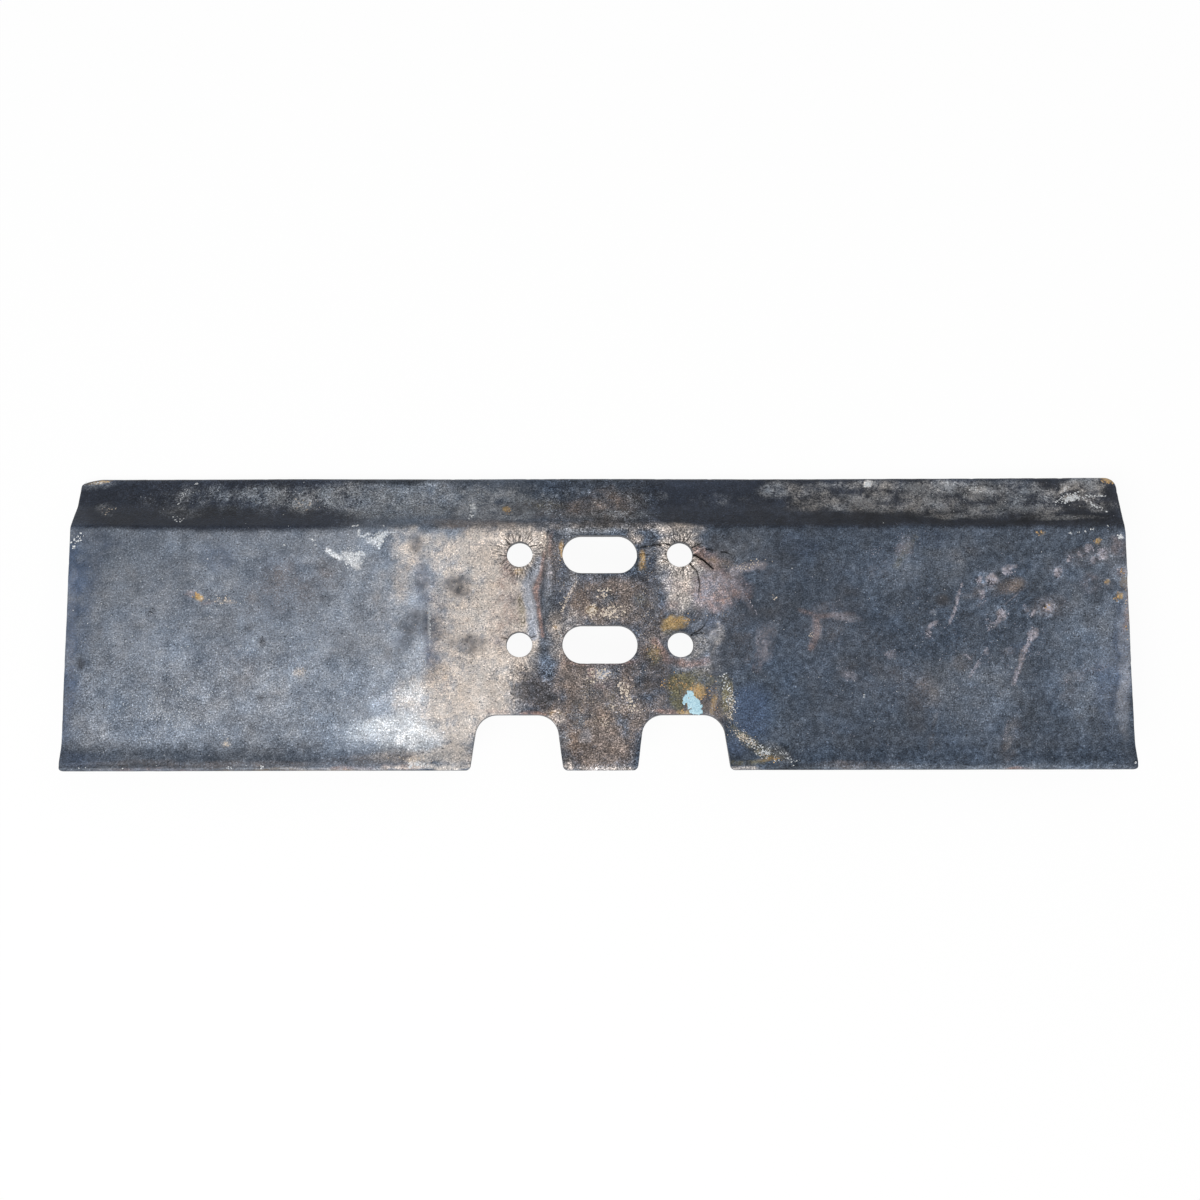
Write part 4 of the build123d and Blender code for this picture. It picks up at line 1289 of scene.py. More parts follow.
def ragged_cover_group():
    """Turns a soft cover into a broken one: the cover times 1 plus fine noise, stepped about a half."""
    inputs = [("Cover", "Float"), ("Fine", "Float"), ("Grain", "Float"), ("Soft", "Float")]
    tree, given, result = new_group("ragged_cover", inputs, [("Cover", "Float")])
    uneven = reckon(tree, "MULTIPLY", centred(tree, given.outputs["Fine"]), given.outputs["Grain"])
    broken = reckon(tree, "MULTIPLY_ADD", given.outputs["Cover"], uneven, given.outputs["Cover"])
    low = reckon(tree, "SUBTRACT", 0.5, given.outputs["Soft"])
    high = reckon(tree, "ADD", 0.5, given.outputs["Soft"])
    tree.links.new(ramp(tree, broken, low, high), result.inputs["Cover"])
    return tree


def hole_wrinkles_group():
    """Fine folds that run out from each bolt hole. The plate is folded onto one hole, and the direction from
    it, shifted for each quarter, is put through noise that is close round the circle and slower along the
    radius. Its ridges are thinned, they fade out at an uneven reach, and those of the rear holes are weaker."""
    inputs = [("Place", "Vector"), ("Reach", "Float")]
    tree, given, result = new_group("hole_wrinkles", inputs, [("Fold", "Float")])
    half = [spacing / 2 * MM for spacing in BOLT_SPACING]
    folded = vector(tree, "ABSOLUTE", given.outputs["Place"])
    away = vector(tree, "MULTIPLY", vector(tree, "SUBTRACT", folded, (*half, 0.0)), (1.0, 1.0, 0.0))
    quarter = vector(tree, "SIGN", given.outputs["Place"])
    radius = vector(tree, "LENGTH", away)
    heading = vector(tree, "NORMALIZE", away)
    rings = reckon(tree, "MULTIPLY", radius, WRINKLE_RINGS)
    slow = put(tree, "ShaderNodeCombineXYZ", {"Z": rings}).outputs[0]
    spokes = vector(tree, "ADD", vector(tree, "MULTIPLY", heading, WRINKLE_SPOKES), slow)
    spokes = vector(tree, "ADD", spokes, vector(tree, "MULTIPLY", quarter, WRINKLE_SHIFT))
    inputs = {"Vector": spokes, "Scale": 1.0, "Detail": WRINKLE_DETAIL, "Roughness": WRINKLE_ROUGHNESS}
    lines = put(tree, "ShaderNodeTexNoise", inputs)
    ridge = reckon(tree, "ABSOLUTE", centred(tree, lines.outputs["Fac"]))
    thin = ramp(tree, ridge, 0.0, WRINKLE_THIN, 1.0, 0.0)
    spread = reckon(tree, "ADD", lines.outputs["Color"], WRINKLE_SPREAD)
    end = reckon(tree, "MULTIPLY", given.outputs["Reach"], spread)
    part = reckon(tree, "DIVIDE", reckon(tree, "SUBTRACT", radius, BOLT_HOLE_RADIUS * MM), end)
    fade = ramp(tree, part, WRINKLE_FADE_START, 1.0, 1.0, 0.0)
    front = put(tree, "ShaderNodeSeparateXYZ", {"Vector": quarter}).outputs["Y"]
    strength = reckon(tree, "MULTIPLY_ADD", front, WRINKLE_FRONT_MORE, WRINKLE_MIDDLE)
    fade = reckon(tree, "MULTIPLY", fade, strength)
    tree.links.new(reckon(tree, "MULTIPLY", thin, fade), result.inputs["Fold"])
    return tree


def pits_group():
    """Small dark pits: cells of a Voronoi pattern whose middles are near, where the given share of slow noise
    lets them be."""
    inputs = [("Place", "Vector"), ("Cell", "Float"), ("Allowed", "Float"), ("Share", "Float")]
    tree, given, result = new_group("scale_pits", inputs, [("Pit", "Float")])
    scale = reckon(tree, "DIVIDE", 1.0, given.outputs["Cell"])
    cells = put(tree, "ShaderNodeTexVoronoi", {"Vector": given.outputs["Place"], "Scale": scale})
    spot = ramp(tree, cells.outputs["Distance"], PIT_CORE, PIT_RIM, 1.0, 0.0)
    share = reckon(tree, "SUBTRACT", 1.0, given.outputs["Share"])
    allowed = ramp(tree, given.outputs["Allowed"], share, reckon(tree, "ADD", share, PIT_SHARE_SOFT))
    tree.links.new(reckon(tree, "MULTIPLY", spot, allowed), result.inputs["Pit"])
    return tree


RAGGED, WRINKLES, PITS = ragged_cover_group(), hole_wrinkles_group(), pits_group()

# Cells of the fine noises that the layers share, of the wide and of the slow one. Then the detail and the
# roughness of each kind.
FINE_CELLS, WIDE_CELL, SLOW_CELL = (0.8, 1.1, 1.6), 3.4, 30.0
FINE_DETAIL, SCOUR_DETAIL, SLOW_DETAIL = (2.0, 0.7), (1.0, 0.6), (5.0, 0.62)
WRINKLE_REACH, PIT_CELL, PIT_SHARE = 12.0, 2.1, 0.52
# The turn of the old scuffing on the plate, in degrees, and its cell across and along, in millimetres
SCOUR_TURN, SCOUR_CELL, SCOUR_STRETCH = 34.0, 1.3, 7.0
# The levels of noise between which shades change, specks fade, painted glints and packed mud come up, and the
# bars' tips are rubbed
SHADE_LEVELS, SPECK_LEVELS, GLINT_LEVELS = (0.3, 0.7), (0.28, 0.38), (0.58, 0.76)
MUD_LEVELS, RUB_LEVELS = (0.56, 0.82), (0.45, 0.95)
# Colours of the bare steel, of the ground side's scale and mud, and of its rubbed tips
BARE_DARK, BARE_PALE, BARE_ROUGHNESS, BARE_METALLIC = (60, 69, 82), (76, 86, 100), 0.46, 0.45
GROUND_SCALE, GROUND_MUD, RUBBED_TIPS = (66, 70, 78), (98, 87, 78), (122, 125, 132)
# The light painted into the colour: the grain's strength and its least, the shares of mottle and scouring in
# it, the painted glints and what the glint patches add to them, the mottle's part in the warmth, and the slow
# noise's in the rubbed tips
GRAIN_STRENGTH, LEAST_GRIT, MOTTLE_SHARE, SCOUR_SHARE = 2.5, 0.8, 0.35, 0.12
GLINT_STRENGTH, PATCH_GLINTS, MOTTLE_WARMTH, SLOW_RUB = 0.9, 1.7, 0.12, 0.5
# What pits, folds and the cracks' painted shade take from the light
PIT_LOSS, FOLD_LOSS, CRACK_SHADE_LOSS = 0.40, 0.86, 0.90
# The bump: what each part gives it, its strength and its millimetres
BUMP_FINE, BUMP_MOTTLE, BUMP_PITS, BUMP_FOLDS, BUMP_STRENGTH, BUMP_MM = 0.7, 0.8, 0.8, 0.8, 0.6, 0.3
ROUGHNESS_GRAIN, SPECULAR = 0.3, 0.3


def own_value(tree, name):
    """A value that the piece carries per point."""
    return put(tree, "ShaderNodeAttribute", attribute_name=name).outputs["Fac"]


def steel_material():
    """The worn skin: bare dark steel under its layers. Over them lies light painted into the colour: e to the
    power of the tone plus the grain, with painted glints on top, and less in pits, in the cracks' painted shade
    and in the wrinkles at the holes."""
    material, tree = new_material("worn_track_steel")
    place = own_place(tree)
    fine = [noise(tree, place, cell, *FINE_DETAIL) for cell in FINE_CELLS]
    mottle = noise(tree, place, WIDE_CELL, *FINE_DETAIL)
    speckle = fine[0]
    turned = put(tree, "ShaderNodeMapping", {
        "Vector": place, "Rotation": (0.0, 0.0, math.radians(SCOUR_TURN)), "Scale": (SCOUR_STRETCH, 1.0, 1.0),
    }, vector_type="TEXTURE").outputs[0]
    scour = noise(tree, turned, SCOUR_CELL, *SCOUR_DETAIL)

    shade = blend(tree, "RGBA", ramp(tree, mottle, *SHADE_LEVELS), colour(*BARE_DARK), colour(*BARE_PALE))
    roughness, metallic = BARE_ROUGHNESS, BARE_METALLIC
    for order, (name, tint, rough, metal, grain, soft, *_) in enumerate(LAYERS):
        sign = -1.0 if order % 2 else 1.0
        speck = fine[(order + 1) % len(fine)]
        inputs = {"Cover": own_value(tree, name), "Fine": speck, "Grain": grain * sign, "Soft": soft}
        cover = use_group(tree, RAGGED, inputs).outputs["Cover"]
        shade = blend(tree, "RGBA", cover, shade, colour(*tint))
        roughness = blend(tree, "FLOAT", cover, roughness, rough)
        metallic = blend(tree, "FLOAT", cover, metallic, metal)

    slow = noise(tree, place, SLOW_CELL, *SLOW_DETAIL)
    packed = ramp(tree, reckon(tree, "MULTIPLY_ADD", mottle, MOTTLE_SHARE, slow), *MUD_LEVELS)
    below = blend(tree, "RGBA", packed, colour(*GROUND_SCALE), colour(*GROUND_MUD))
    rubbed = ramp(tree, reckon(tree, "MULTIPLY_ADD", slow, SLOW_RUB, own_value(tree, "tip")), *RUB_LEVELS)
    below = blend(tree, "RGBA", rubbed, below, colour(*RUBBED_TIPS))
    shade = blend(tree, "RGBA", own_value(tree, "under"), shade, below)

    folds = use_group(tree, WRINKLES, {"Place": place, "Reach": WRINKLE_REACH * MM}).outputs["Fold"]
    inputs = {"Place": place, "Cell": PIT_CELL * MM, "Allowed": mottle, "Share": PIT_SHARE}
    pits = use_group(tree, PITS, inputs).outputs["Pit"]
    pits = reckon(tree, "MAXIMUM", pits, ramp(tree, fine[2], *SPECK_LEVELS, 1.0, 0.0))

    grit = own_value(tree, "grit")
    uneven = reckon(tree, "MULTIPLY_ADD", mottle, MOTTLE_SHARE, speckle)
    uneven = reckon(tree, "SUBTRACT", uneven, 0.5 * (1.0 + MOTTLE_SHARE))
    uneven = reckon(tree, "MULTIPLY_ADD", centred(tree, scour), SCOUR_SHARE, uneven)
    uneven = reckon(tree, "MULTIPLY", uneven, GRAIN_STRENGTH)
    tone = reckon(tree, "MULTIPLY", uneven, reckon(tree, "MAXIMUM", grit, LEAST_GRIT))
    light = reckon(tree, "EXPONENT", reckon(tree, "ADD", tone, own_value(tree, "tone")))
    # Painted glints: bright specks multiplied into the colour, more where the glint patches lie
    glints = reckon(tree, "MULTIPLY_ADD", own_value(tree, "glint_patches"), PATCH_GLINTS, GLINT_STRENGTH)
    glints = reckon(tree, "MULTIPLY", glints, ramp(tree, fine[1], *GLINT_LEVELS))
    light = reckon(tree, "MULTIPLY_ADD", light, glints, light)
    for mask, loss in ((pits, PIT_LOSS), (folds, FOLD_LOSS), (own_value(tree, "crack"), CRACK_SHADE_LOSS)):
        left = reckon(tree, "SUBTRACT", 1.0, reckon(tree, "MULTIPLY", mask, loss))
        light = reckon(tree, "MULTIPLY", light, left)
    warmth = reckon(tree, "MULTIPLY_ADD", centred(tree, mottle), MOTTLE_WARMTH, own_value(tree, "warmth"))
    red = reckon(tree, "MULTIPLY_ADD", light, warmth, light)
    blue = reckon(tree, "SUBTRACT", light, reckon(tree, "MULTIPLY", light, warmth))
    light = put(tree, "ShaderNodeCombineColor", {"Red": red, "Green": light, "Blue": blue}).outputs[0]
    shade = blend(tree, "RGBA", 1.0, shade, light, "MULTIPLY")

    height = reckon(tree, "MULTIPLY_ADD", fine[2], BUMP_FINE, reckon(tree, "MULTIPLY", speckle, BUMP_FINE))
    height = reckon(tree, "MULTIPLY_ADD", mottle, BUMP_MOTTLE, height)
    height = reckon(tree, "SUBTRACT", height, reckon(tree, "MULTIPLY", pits, BUMP_PITS))
    height = reckon(tree, "SUBTRACT", height, reckon(tree, "MULTIPLY", folds, BUMP_FOLDS))
    inputs = {"Height": height, "Strength": BUMP_STRENGTH, "Distance": BUMP_MM * MM}
    bump = put(tree, "ShaderNodeBump", inputs)
    roughness = reckon(tree, "MULTIPLY_ADD", centred(tree, speckle), ROUGHNESS_GRAIN, roughness)
    shader = put(tree, "ShaderNodeBsdfPrincipled", {
        "Base Color": shade, "Roughness": roughness, "Metallic": metallic, "Normal": bump.outputs["Normal"],
        "Specular IOR Level": SPECULAR,
    })
    put(tree, "ShaderNodeOutputMaterial", {"Surface": shader.outputs["BSDF"]})
    return material


# Flecks and crusts

# Clusters by pixel: centre, half sizes, count, the least and the greatest radius in millimetres, and the turn
# in degrees if any
CHALK_CLUSTERS = (
    (77, 540, 9, 3, 26, 0.25, 0.7, -50), (354, 559, 11, 8, 120, 0.2, 0.6),
    (379, 539, 9, 8, 100, 0.2, 0.6, -20), (352, 548, 7, 3, 16, 0.2, 0.4), (315, 541, 3, 2, 5, 0.3, 0.6),
    (355, 526, 3, 1, 10, 0.3, 0.6), (868, 484, 4, 3, 14, 0.5, 1.2),
    (1070, 498, 11, 4, 150, 0.2, 0.8, -10), (1094, 496, 11, 1.5, 40, 0.2, 0.5),
    (1094, 505, 14, 2, 36, 0.2, 0.6, 28), (100, 482, 18, 2, 50, 0.2, 0.5, -8),
    (1066, 489, 7, 2, 14, 0.2, 0.6, -45), (976, 489, 10, 4, 26, 0.2, 0.5),
    (473, 507, 3, 5, 14, 0.25, 0.7), (471, 517, 3, 3, 8, 0.25, 0.6),
    (184, 494, 2, 10, 20, 0.2, 0.5, 30), (180, 520, 9, 3, 12, 0.2, 0.5), (196, 484, 3, 2, 6, 0.3, 0.6),
    (786, 756, 14, 4, 34, 0.2, 0.5, 35), (758, 748, 22, 6, 130, 0.18, 0.5, 34),
    (729, 695, 6, 20, 90, 0.18, 0.5, -14), (764, 753, 8, 3, 50, 0.2, 0.5),
    (80, 770, 7, 1.5, 16, 0.3, 0.8), (125, 770, 3, 1.5, 6, 0.3, 0.6), (228, 769, 6, 2, 12, 0.3, 0.7),
    (262, 768, 4, 2.5, 12, 0.3, 0.7), (416, 765, 10, 4, 40, 0.25, 0.8), (1071, 533, 2, 1, 4, 0.3, 0.5),
    (1079, 532, 2, 1, 3, 0.3, 0.5), (1085, 531, 1, 1, 3, 0.3, 0.5), (1093, 529, 2, 1, 3, 0.3, 0.5),
    (1108, 526, 1, 1, 2, 0.3, 0.5), (1121, 537, 2.4, 1.8, 16, 0.5, 1.0),
    (1135, 763, 1.5, 1.5, 4, 0.3, 0.6), (1103, 496, 5, 1, 8, 0.2, 0.5, 10),
    (230, 640, 185, 105, 620, 0.14, 0.34), (395, 732, 40, 20, 300, 0.16, 0.36),
    (170, 715, 60, 30, 320, 0.16, 0.38), (960, 650, 190, 110, 170, 0.14, 0.3),
    (320, 498, 130, 12, 160, 0.13, 0.3), (430, 630, 1, 22, 46, 0.15, 0.35),
    (285, 545, 2, 1, 4, 0.3, 0.5), (316, 545, 2, 1, 3, 0.3, 0.4), (560, 635, 2, 4, 8, 0.2, 0.5),
    (450, 690, 45, 50, 150, 0.13, 0.3), (1000, 497, 100, 14, 90, 0.13, 0.3),
    (864, 696, 2, 2, 3, 0.3, 0.5),
)
CREAM_CLUSTERS = (
    (592, 610, 5, 6, 44, 0.3, 1.0), (612, 612, 13, 7, 90, 0.25, 0.9), (603, 592, 8, 5, 30, 0.25, 0.8),
    (566, 601, 4, 14, 40, 0.2, 0.6, 26), (598, 674, 12, 10, 80, 0.25, 0.8),
    (626, 694, 5, 14, 60, 0.25, 0.9, -24), (612, 705, 7, 7, 26, 0.2, 0.6),
    (634, 708, 6, 9, 24, 0.2, 0.6, -30), (607, 722, 12, 9, 26, 0.2, 0.5),
    (600, 610, 44, 26, 110, 0.14, 0.36), (600, 705, 44, 56, 130, 0.14, 0.36),
    (650, 605, 10, 70, 90, 0.14, 0.32), (744, 567, 20, 5, 90, 0.15, 0.4, -12),
    (745, 738, 16, 5, 130, 0.18, 0.45, 38), (731, 706, 5, 20, 110, 0.18, 0.45, 6),
    (226, 600, 16, 4, 24, 0.2, 0.55), (226, 743, 4, 4, 10, 0.25, 0.6), (300, 673, 7, 5, 12, 0.2, 0.5),
    (305, 505, 12, 6, 30, 0.2, 0.6), (106, 510, 9, 5, 16, 0.2, 0.5), (775, 598, 3, 3, 8, 0.25, 0.6),
    (811, 635, 4, 4, 8, 0.2, 0.5), (560, 560, 6, 40, 40, 0.14, 0.34), (418, 760, 20, 5, 40, 0.2, 0.6),
    (470, 600, 50, 100, 260, 0.13, 0.32), (700, 610, 40, 50, 120, 0.13, 0.3),
)
RUST_CLUSTERS = (
    (196, 596, 3, 3.5, 14, 0.35, 0.9), (697, 691, 11, 7, 90, 0.2, 0.6, 20),
    (690, 701, 5, 9, 20, 0.2, 0.6), (682, 712, 10, 3, 34, 0.2, 0.6),
    (678, 621, 15, 6, 100, 0.16, 0.45, -8), (643, 561, 2.5, 10, 20, 0.2, 0.5),
    (562, 551, 2, 11, 16, 0.2, 0.5), (508, 510, 5, 3.5, 20, 0.2, 0.5), (1117, 597, 3, 5, 10, 0.3, 0.8),
    (1047, 607, 3, 4, 8, 0.3, 0.7), (1098, 541, 4, 3, 8, 0.3, 0.6), (1105, 582, 2, 2, 4, 0.3, 0.6),
    (1127, 606, 1.5, 40, 24, 0.2, 0.5), (1122, 572, 3, 4, 6, 0.3, 0.6),
    (1106, 481, 8, 2, 24, 0.25, 0.7, 20), (772, 758, 16, 3, 40, 0.16, 0.45, 20),
    (1039, 533, 4, 2.5, 9, 0.3, 0.6), (556, 627, 2, 2, 5, 0.2, 0.5), (655, 655, 6, 9, 24, 0.16, 0.4),
    (676, 684, 18, 10, 60, 0.16, 0.45), (715, 700, 5, 20, 24, 0.16, 0.4),
)
SCUFF_CLUSTERS = (
    (991, 580, 5, 4, 46, 0.25, 0.75), (979, 581, 3, 4, 20, 0.25, 0.6),
    (1009, 571, 7, 4, 40, 0.2, 0.65, -30), (984, 597, 3, 5, 16, 0.2, 0.6),
    (1001, 614, 5, 5, 44, 0.25, 0.75), (1025, 609, 2, 4, 8, 0.2, 0.5), (1032, 615, 3, 3, 12, 0.25, 0.7),
    (1048, 608, 5, 4.5, 40, 0.25, 0.75), (1057, 572, 4, 5, 18, 0.2, 0.6),
    (1070, 558, 3, 3, 10, 0.2, 0.5), (1103, 552, 6, 7, 44, 0.25, 0.7), (1120, 572, 3, 4, 12, 0.25, 0.7),
    (929, 632, 4, 7, 20, 0.2, 0.6, 10), (934, 626, 7, 2, 12, 0.2, 0.4, -24),
    (889, 655, 5, 4, 12, 0.2, 0.4), (988, 624, 4, 6, 12, 0.2, 0.4),
    (840, 618, 16, 4, 30, 0.15, 0.35, 6), (815, 632, 8, 16, 26, 0.15, 0.35),
    (850, 675, 10, 6, 20, 0.15, 0.35, 30), (1030, 655, 8, 6, 16, 0.15, 0.35),
    (960, 650, 190, 110, 620, 0.13, 0.3), (528, 684, 16, 12, 60, 0.15, 0.35),
    (1085, 670, 30, 12, 30, 0.15, 0.35, -20), (875, 552, 14, 8, 26, 0.15, 0.3),
    (905, 545, 16, 12, 34, 0.15, 0.35, -30),
)
# Dark specks of scale
SCALE_CLUSTERS = (
    (230, 640, 190, 110, 460, 0.2, 0.46), (187, 626, 9, 4, 10, 0.25, 0.5),
    (150, 612, 6, 5, 14, 0.25, 0.5), (262, 642, 4, 5, 12, 0.25, 0.55), (324, 598, 4, 3, 6, 0.25, 0.5),
    (248, 628, 8, 3, 10, 0.2, 0.45, -30), (950, 650, 190, 110, 1100, 0.22, 0.6),
    (966, 614, 6, 5, 20, 0.25, 0.5), (998, 627, 5, 6, 14, 0.25, 0.5),
    (600, 640, 50, 110, 360, 0.2, 0.5), (470, 620, 50, 90, 300, 0.18, 0.42),
    (610, 504, 30, 14, 40, 0.2, 0.6), (719, 724, 4, 5, 14, 0.25, 0.6), (752, 678, 7, 5, 14, 0.2, 0.5),
    (1090, 700, 40, 50, 60, 0.2, 0.5),
)
# Lines of chatter by the pixels they pass, with count and the least and the greatest radius in millimetres
SCUFF_LINES = (
    ([(1033, 627), (1027, 645), (1015, 682)], 46, 0.25, 0.6),
    ([(962, 583), (957, 605), (951, 624)], 60, 0.2, 0.4),
    ([(1012, 603), (998, 618), (987, 632)], 22, 0.15, 0.4),
    ([(987, 648), (978, 662), (970, 676)], 22, 0.2, 0.5), ([(966, 654), (971, 660)], 8, 0.2, 0.45),
    ([(1078, 551), (1082, 557)], 7, 0.2, 0.45), ([(1085, 548), (1089, 554)], 7, 0.2, 0.45),
    ([(1091, 546), (1095, 552)], 7, 0.2, 0.45), ([(740, 588), (750, 602), (758, 616)], 26, 0.15, 0.35),
    ([(560, 700), (566, 690)], 6, 0.2, 0.3), ([(1070, 494), (1086, 498), (1100, 507)], 22, 0.15, 0.35),
    ([(1008, 720), (1004, 740)], 14, 0.15, 0.35),
)
# Flakes of old paint by pixel: centre, radius in millimetres, stretch and turn in degrees
PAINT_FLAKES = (
    (691, 695, 2.6, 0.75, 100), (686, 699, 2.2, 0.8, 60), (692, 700, 2.8, 0.8, 20),
    (684, 703, 1.4, 0.6, 90), (690, 705, 2.6, 0.8, 80), (696, 703, 2.7, 0.8, 110),
    (700, 707, 1.9, 0.7, 80), (695, 709, 2.9, 0.85, 60), (700, 711, 2.1, 0.7, 90),
    (691, 711, 1.6, 0.6, 40), (697, 712, 2.2, 0.6, 0), (688, 692, 1.1, 0.6, 100),
)
# A flake's rim points and how uneven they are. Then how deep the rim is sunk, how high flecks and chips of
# paint stand, the share of that at the shoulder, and the top's size by the rim's.
RIM_POINTS, RIM_UNEVEN = 9, (0.62, 1.3)
FLECK_SINK, FLECK_RISE, CHIP_RISE = 0.12, 0.10, 0.26
SHOULDER_RISE, TOP_SHARE = 0.5, 0.7
# Spread of flecks in a cluster and off a line, and their stretch. Then the turn of those on a line, and its
# spread.
CLUSTER_SPREAD, LINE_SPREAD, FLECK_STRETCH = 0.5, 0.5, (0.45, 0.95)
CHATTER_TURN, CHATTER_TURN_SPREAD = -0.3, 0.4
# How far flecks keep off the openings and the edges, and off the toe
FLECK_MARGIN, TOE_MARGIN = 1.2, 2.0
RAY_ROUNDS = 8


def top_height(x, y):
    """Height of the rolled upper surface: the section's level, with the lip's twist."""
    return level_at(upper_chain, y) + lip_rise(x, y)


def skin_place(pixels):
    """X and Y on the upper surface under each pixel: the pixel's ray is met with the surface's height, and
    the height is taken again at the place found, over and over until it rests."""
    base = link_face_point(pixels)
    rays = (base - CAMERA_PLACE) / (base - CAMERA_PLACE)[:, 2:]
    place = base
    for _ in range(RAY_ROUNDS):
        height = top_height(place[:, 0], place[:, 1])
        place = CAMERA_PLACE + rays * (height - CAMERA_PLACE[2])[:, None]
    return place[:, :2]


def worn_height(x, y):
    """Height of the worn upper surface at arrays of places."""
    flat = np.column_stack([x.ravel(), y.ravel()])
    nominal = top_height(flat[:, 0], flat[:, 1])
    points = np.column_stack([flat, nominal])
    return (nominal + relief(points)).reshape(x.shape)


def flakes(name, places, radii, stretch, turns, rise, seed):
    """A piece of many flakes that lie on the skin. Each is a closed plate with an uneven outline: a rim sunk in
    the metal, and a smaller top that stands proud of it. Radius r(a) is the flake's own, times noise."""
    draw = np.random.default_rng(seed)
    count = len(places)
    angle = np.linspace(0.0, 2 * math.pi, RIM_POINTS, endpoint=False)
    uneven = draw.uniform(*RIM_UNEVEN, (count, RIM_POINTS))
    along = radii[:, None] * uneven * np.cos(angle)
    across = radii[:, None] * stretch[:, None] * uneven * np.sin(angle)
    c, s = np.cos(turns)[:, None], np.sin(turns)[:, None]
    dx, dy = along * c - across * s, along * s + across * c
    levels = []
    for share, lift in ((1.0, -FLECK_SINK), (1.0, rise * SHOULDER_RISE), (TOP_SHARE, rise)):
        x, y = places[:, :1] + share * dx, places[:, 1:] + share * dy
        levels.append(np.stack([x, y, worn_height(x, y) + lift], axis=-1))
    points = np.stack(levels, axis=1).reshape(-1, 3)
    ids = np.arange(count * 3 * RIM_POINTS).reshape(count, 3, RIM_POINTS)
    beside = np.roll(ids, -1, axis=2)
    walls = np.stack([ids[:, :-1], beside[:, :-1], beside[:, 1:], ids[:, 1:]], axis=-1).reshape(-1, 4)
    faces = walls.tolist() + ids[:, 2].tolist() + ids[:, 0, ::-1].tolist()
    piece = new_piece(name, points, faces)
    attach(piece, "root")
    return piece


def on_steel(places):
    """Which places lie on metal: inside the shoe's outline and clear of every opening."""
    x, y = np.abs(places[:, 0]), places[:, 1]
    half_x, half_y = (spacing / 2 for spacing in BOLT_SPACING)
    off_row = np.abs(y) - half_y
    hole = np.hypot(x - half_x, off_row) > BOLT_HOLE_RADIUS + FLECK_MARGIN
    run = np.clip(x - (SLOT_LENGTH - SLOT_WIDTH) / 2, 0.0, None)
    slot = np.hypot(run, off_row) > SLOT_WIDTH / 2 + FLECK_MARGIN
    root = REAR_EDGE + NOTCH_DEPTH
    side = NOTCH_ROOT_WIDTH / 2 + (root - y) * tan_deg(NOTCH_FLARE)
    notch = (np.abs(x - NOTCH_SPACING / 2) > side + FLECK_MARGIN) | (y > root + FLECK_MARGIN)
    inside = (x < HALF_WIDTH - FLECK_MARGIN) & (y > REAR_EDGE + FLECK_MARGIN) & (y < FRONT_EDGE - TOE_MARGIN)
    return hole & slot & notch & inside


def scattered(name, clusters, lines, material, seed):
    """Flakes in clusters, close at each cluster's middle, and in lines across which each flake is stretched."""
    draw = np.random.default_rng(seed)
    pixels, radii, turns = [], [], []
    for x, y, half_x, half_y, count, least, most, *turn in clusters:
        u, v = draw.normal(0.0, CLUSTER_SPREAD, (2, count))
        c, s = turn_parts(*turn)
        across, down = x + u * half_x * c - v * half_y * s, y + u * half_x * s + v * half_y * c
        pixels.append(np.column_stack([across, down]))
        radii.append(least + (most - least) * draw.uniform(0.0, 1.0, count) ** 2)
        turns.append(draw.uniform(0.0, math.pi, count))
    for knots, count, least, most in lines:
        knots = np.array(knots, float)
        at = np.sort(draw.uniform(0.0, lengths_along(knots)[-1], count))
        line = places_along(knots, at)
        pixels.append(line + draw.normal(0.0, LINE_SPREAD, line.shape))
        radii.append(least + (most - least) * draw.uniform(0.0, 1.0, count))
        turns.append(draw.normal(CHATTER_TURN, CHATTER_TURN_SPREAD, count))
    places = skin_place(np.concatenate(pixels))
    keep = on_steel(places)
    stretch = draw.uniform(*FLECK_STRETCH, len(places))
    parts = (part[keep] for part in (places, np.concatenate(radii), stretch, np.concatenate(turns)))
    piece = flakes(name, *parts, FLECK_RISE, seed + 1)
    piece.data.materials.append(material)


# A crust's noise: cell, detail and roughness. Then its bump: strength and millimetres.
CRUST_CELL, CRUST_DETAIL, CRUST_BUMP, CRUST_BUMP_MM = 0.8, (3.0, 0.6), 0.4, 0.2


def crust_material(name, dark, pale, roughness):
    """A dry crust: two shades, mixed by fine noise, under a fine bump."""
    material, tree = new_material(name)
    grain = noise(tree, own_place(tree), CRUST_CELL, *CRUST_DETAIL)
    shade = blend(tree, "RGBA", ramp(tree, grain, *SHADE_LEVELS), colour(*dark), colour(*pale))
    inputs = {"Height": grain, "Strength": CRUST_BUMP, "Distance": CRUST_BUMP_MM * MM}
    bump = put(tree, "ShaderNodeBump", inputs).outputs["Normal"]
    inputs = {"Base Color": shade, "Roughness": roughness, "Normal": bump, "Specular IOR Level": SPECULAR}
    shader = put(tree, "ShaderNodeBsdfPrincipled", inputs)
    put(tree, "ShaderNodeOutputMaterial", {"Surface": shader.outputs["BSDF"]})
    return material


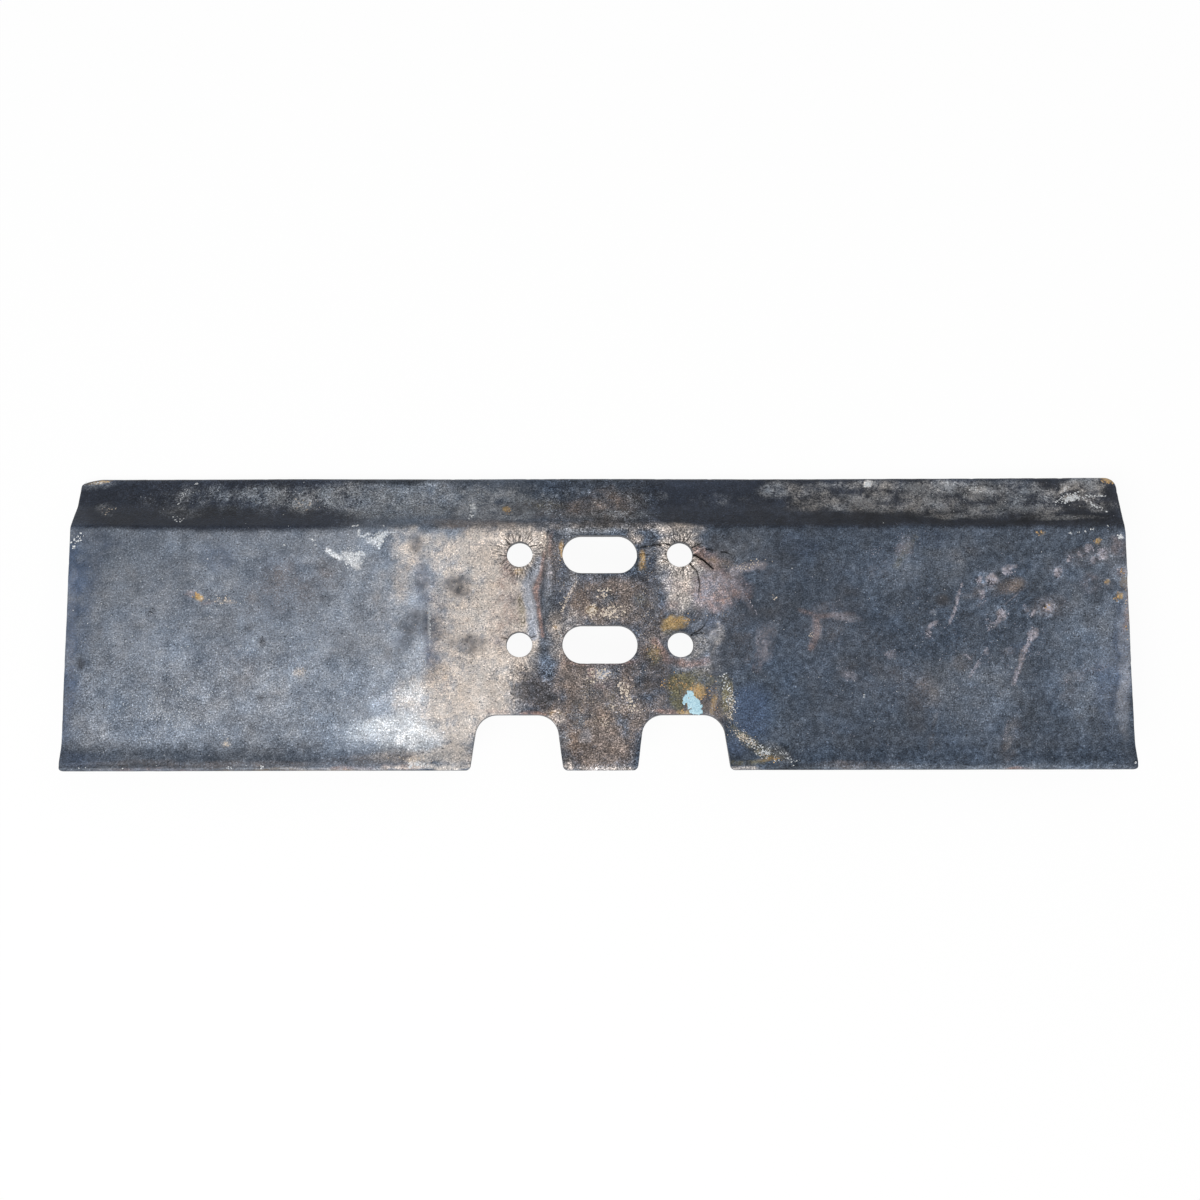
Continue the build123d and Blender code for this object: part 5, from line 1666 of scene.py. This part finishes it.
# Each piece of flecks: its name, clusters, lines and seed, and its crust's name, two shades and roughness
FLECKS = (
    ("chalk_flecks", CHALK_CLUSTERS, (), 101, "chalk", (186, 190, 196), (236, 238, 238), 0.80),
    ("cream_flecks", CREAM_CLUSTERS, (), 103, "cream_clay", (182, 168, 152), (230, 218, 204), 0.85),
    ("rust_crust", RUST_CLUSTERS, (), 105, "rust", (150, 118, 80), (222, 184, 128), 0.85),
    ("scale_specks", SCALE_CLUSTERS, (), 111, "dark_scale", (32, 35, 42), (60, 63, 70), 0.60),
    ("bright_scuffs", SCUFF_CLUSTERS, SCUFF_LINES, 107, "scuffed_steel", (138, 137, 150), (182, 178, 188), 0.5),
)
PAINT_CRUST, PAINT_SEED = ("old_paint", (152, 192, 208), (200, 230, 240), 0.50), 109

for name, clusters, lines, seed, *crust in FLECKS:
    scattered(name, clusters, lines, crust_material(*crust), seed)

paint = np.array(PAINT_FLAKES)
chip_places, chip_turns = skin_place(paint[:, :2]), np.radians(paint[:, 4])
paint_chips = flakes("paint_chips", chip_places, paint[:, 2], paint[:, 3], chip_turns, CHIP_RISE, PAINT_SEED)
paint_chips.data.materials.append(crust_material(*PAINT_CRUST))

shoe.data.materials.clear()
shoe.data.materials.append(steel_material())
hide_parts(SHOE)
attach(shoe, "root")


# Floor, light and camera

FLOOR_REACH, FLOOR_GLOW, FLOOR_COLOUR = 3000.0, 0.95, (246, 246, 245)
# Each lamp: name, place and size in millimetres, and power
LAMPS = (("key", (-500.0, -1100.0, 1150.0), 900.0, 20.0), ("fill", (500.0, 500.0, 1600.0), 1400.0, 5.0))
# How strongly the world lights things, and how bright it looks
WORLD_LIGHT, WORLD_SEEN = 0.45, 1.0
SENSOR_MM = 36.0


def floor_material():
    """Pale matt ground. To the eye and in reflections most of it is plain white, and the rest takes light, so
    the shoe keeps a faint shadow."""
    material, tree = new_material("pale_floor")
    path = put(tree, "ShaderNodeLightPath").outputs
    seen = reckon(tree, "MAXIMUM", path["Is Camera Ray"], path["Is Glossy Ray"])
    seen = reckon(tree, "MAXIMUM", seen, path["Is Transmission Ray"])
    matt = put(tree, "ShaderNodeBsdfDiffuse", {"Color": colour(*FLOOR_COLOUR)})
    glow = put(tree, "ShaderNodeEmission", {"Color": WHITE, "Strength": 1.0})
    share = reckon(tree, "MULTIPLY", seen, FLOOR_GLOW)
    mixed = put(tree, "ShaderNodeMixShader", {0: share, 1: matt.outputs[0], 2: glow.outputs[0]})
    put(tree, "ShaderNodeOutputMaterial", {"Surface": mixed.outputs[0]})
    return material


def pale_floor():
    """A flat square under the ground bars."""
    corners = [(-1, -1), (1, -1), (1, 1), (-1, 1)]
    points = [(FLOOR_REACH * x, FLOOR_REACH * y, GROUND) for x, y in corners]
    floor = new_piece("floor", points, [[0, 1, 2, 3]])
    floor.data.materials.append(floor_material())


def stand(name, data, place, axes):
    """An object for a lamp or a camera at a place in millimetres, turned by its own axes as columns."""
    holder = bpy.data.objects.new(name, data)
    bpy.context.scene.collection.objects.link(holder)
    holder.matrix_world = Matrix.Translation(place * MM) @ Matrix(axes.tolist()).to_4x4()
    return holder


def soft_lamp(name, place, size, power):
    """A square area lamp at a place in millimetres, turned towards the origin."""
    lamp = bpy.data.lights.new(name, "AREA")
    lamp.shape = "SQUARE"
    lamp.size = size * MM
    lamp.energy = power
    place = np.array(place, float)
    back = place / np.linalg.norm(place)
    right = np.cross([0.0, 1.0, 0.0], back)
    right /= np.linalg.norm(right)
    stand(name, lamp, place, np.column_stack([right, np.cross(back, right), back]))


def studio_world():
    """Even white light from all round, and plain white behind everything."""
    world = bpy.data.worlds.new("studio")
    world.use_nodes = True
    tree = world.node_tree
    tree.nodes.clear()
    path = put(tree, "ShaderNodeLightPath").outputs
    strength = blend(tree, "FLOAT", path["Is Camera Ray"], WORLD_LIGHT, WORLD_SEEN)
    sky = put(tree, "ShaderNodeBackground", {"Color": WHITE, "Strength": strength})
    put(tree, "ShaderNodeOutputWorld", {"Surface": sky.outputs[0]})
    bpy.context.scene.world = world


def photo_camera():
    """The camera that took the photograph: its place, its turn and its lens."""
    data = bpy.data.cameras.new("photo_camera")
    data.sensor_width = SENSOR_MM
    data.lens = data.sensor_width * FOCAL_PX / PHOTO_SIZE_PX
    bpy.context.scene.camera = stand("photo_camera", data, CAMERA_PLACE, camera_axes())


pale_floor()
for lamp in LAMPS:
    soft_lamp(*lamp)
studio_world()
photo_camera()
bpy.context.scene.view_settings.view_transform = "Standard"
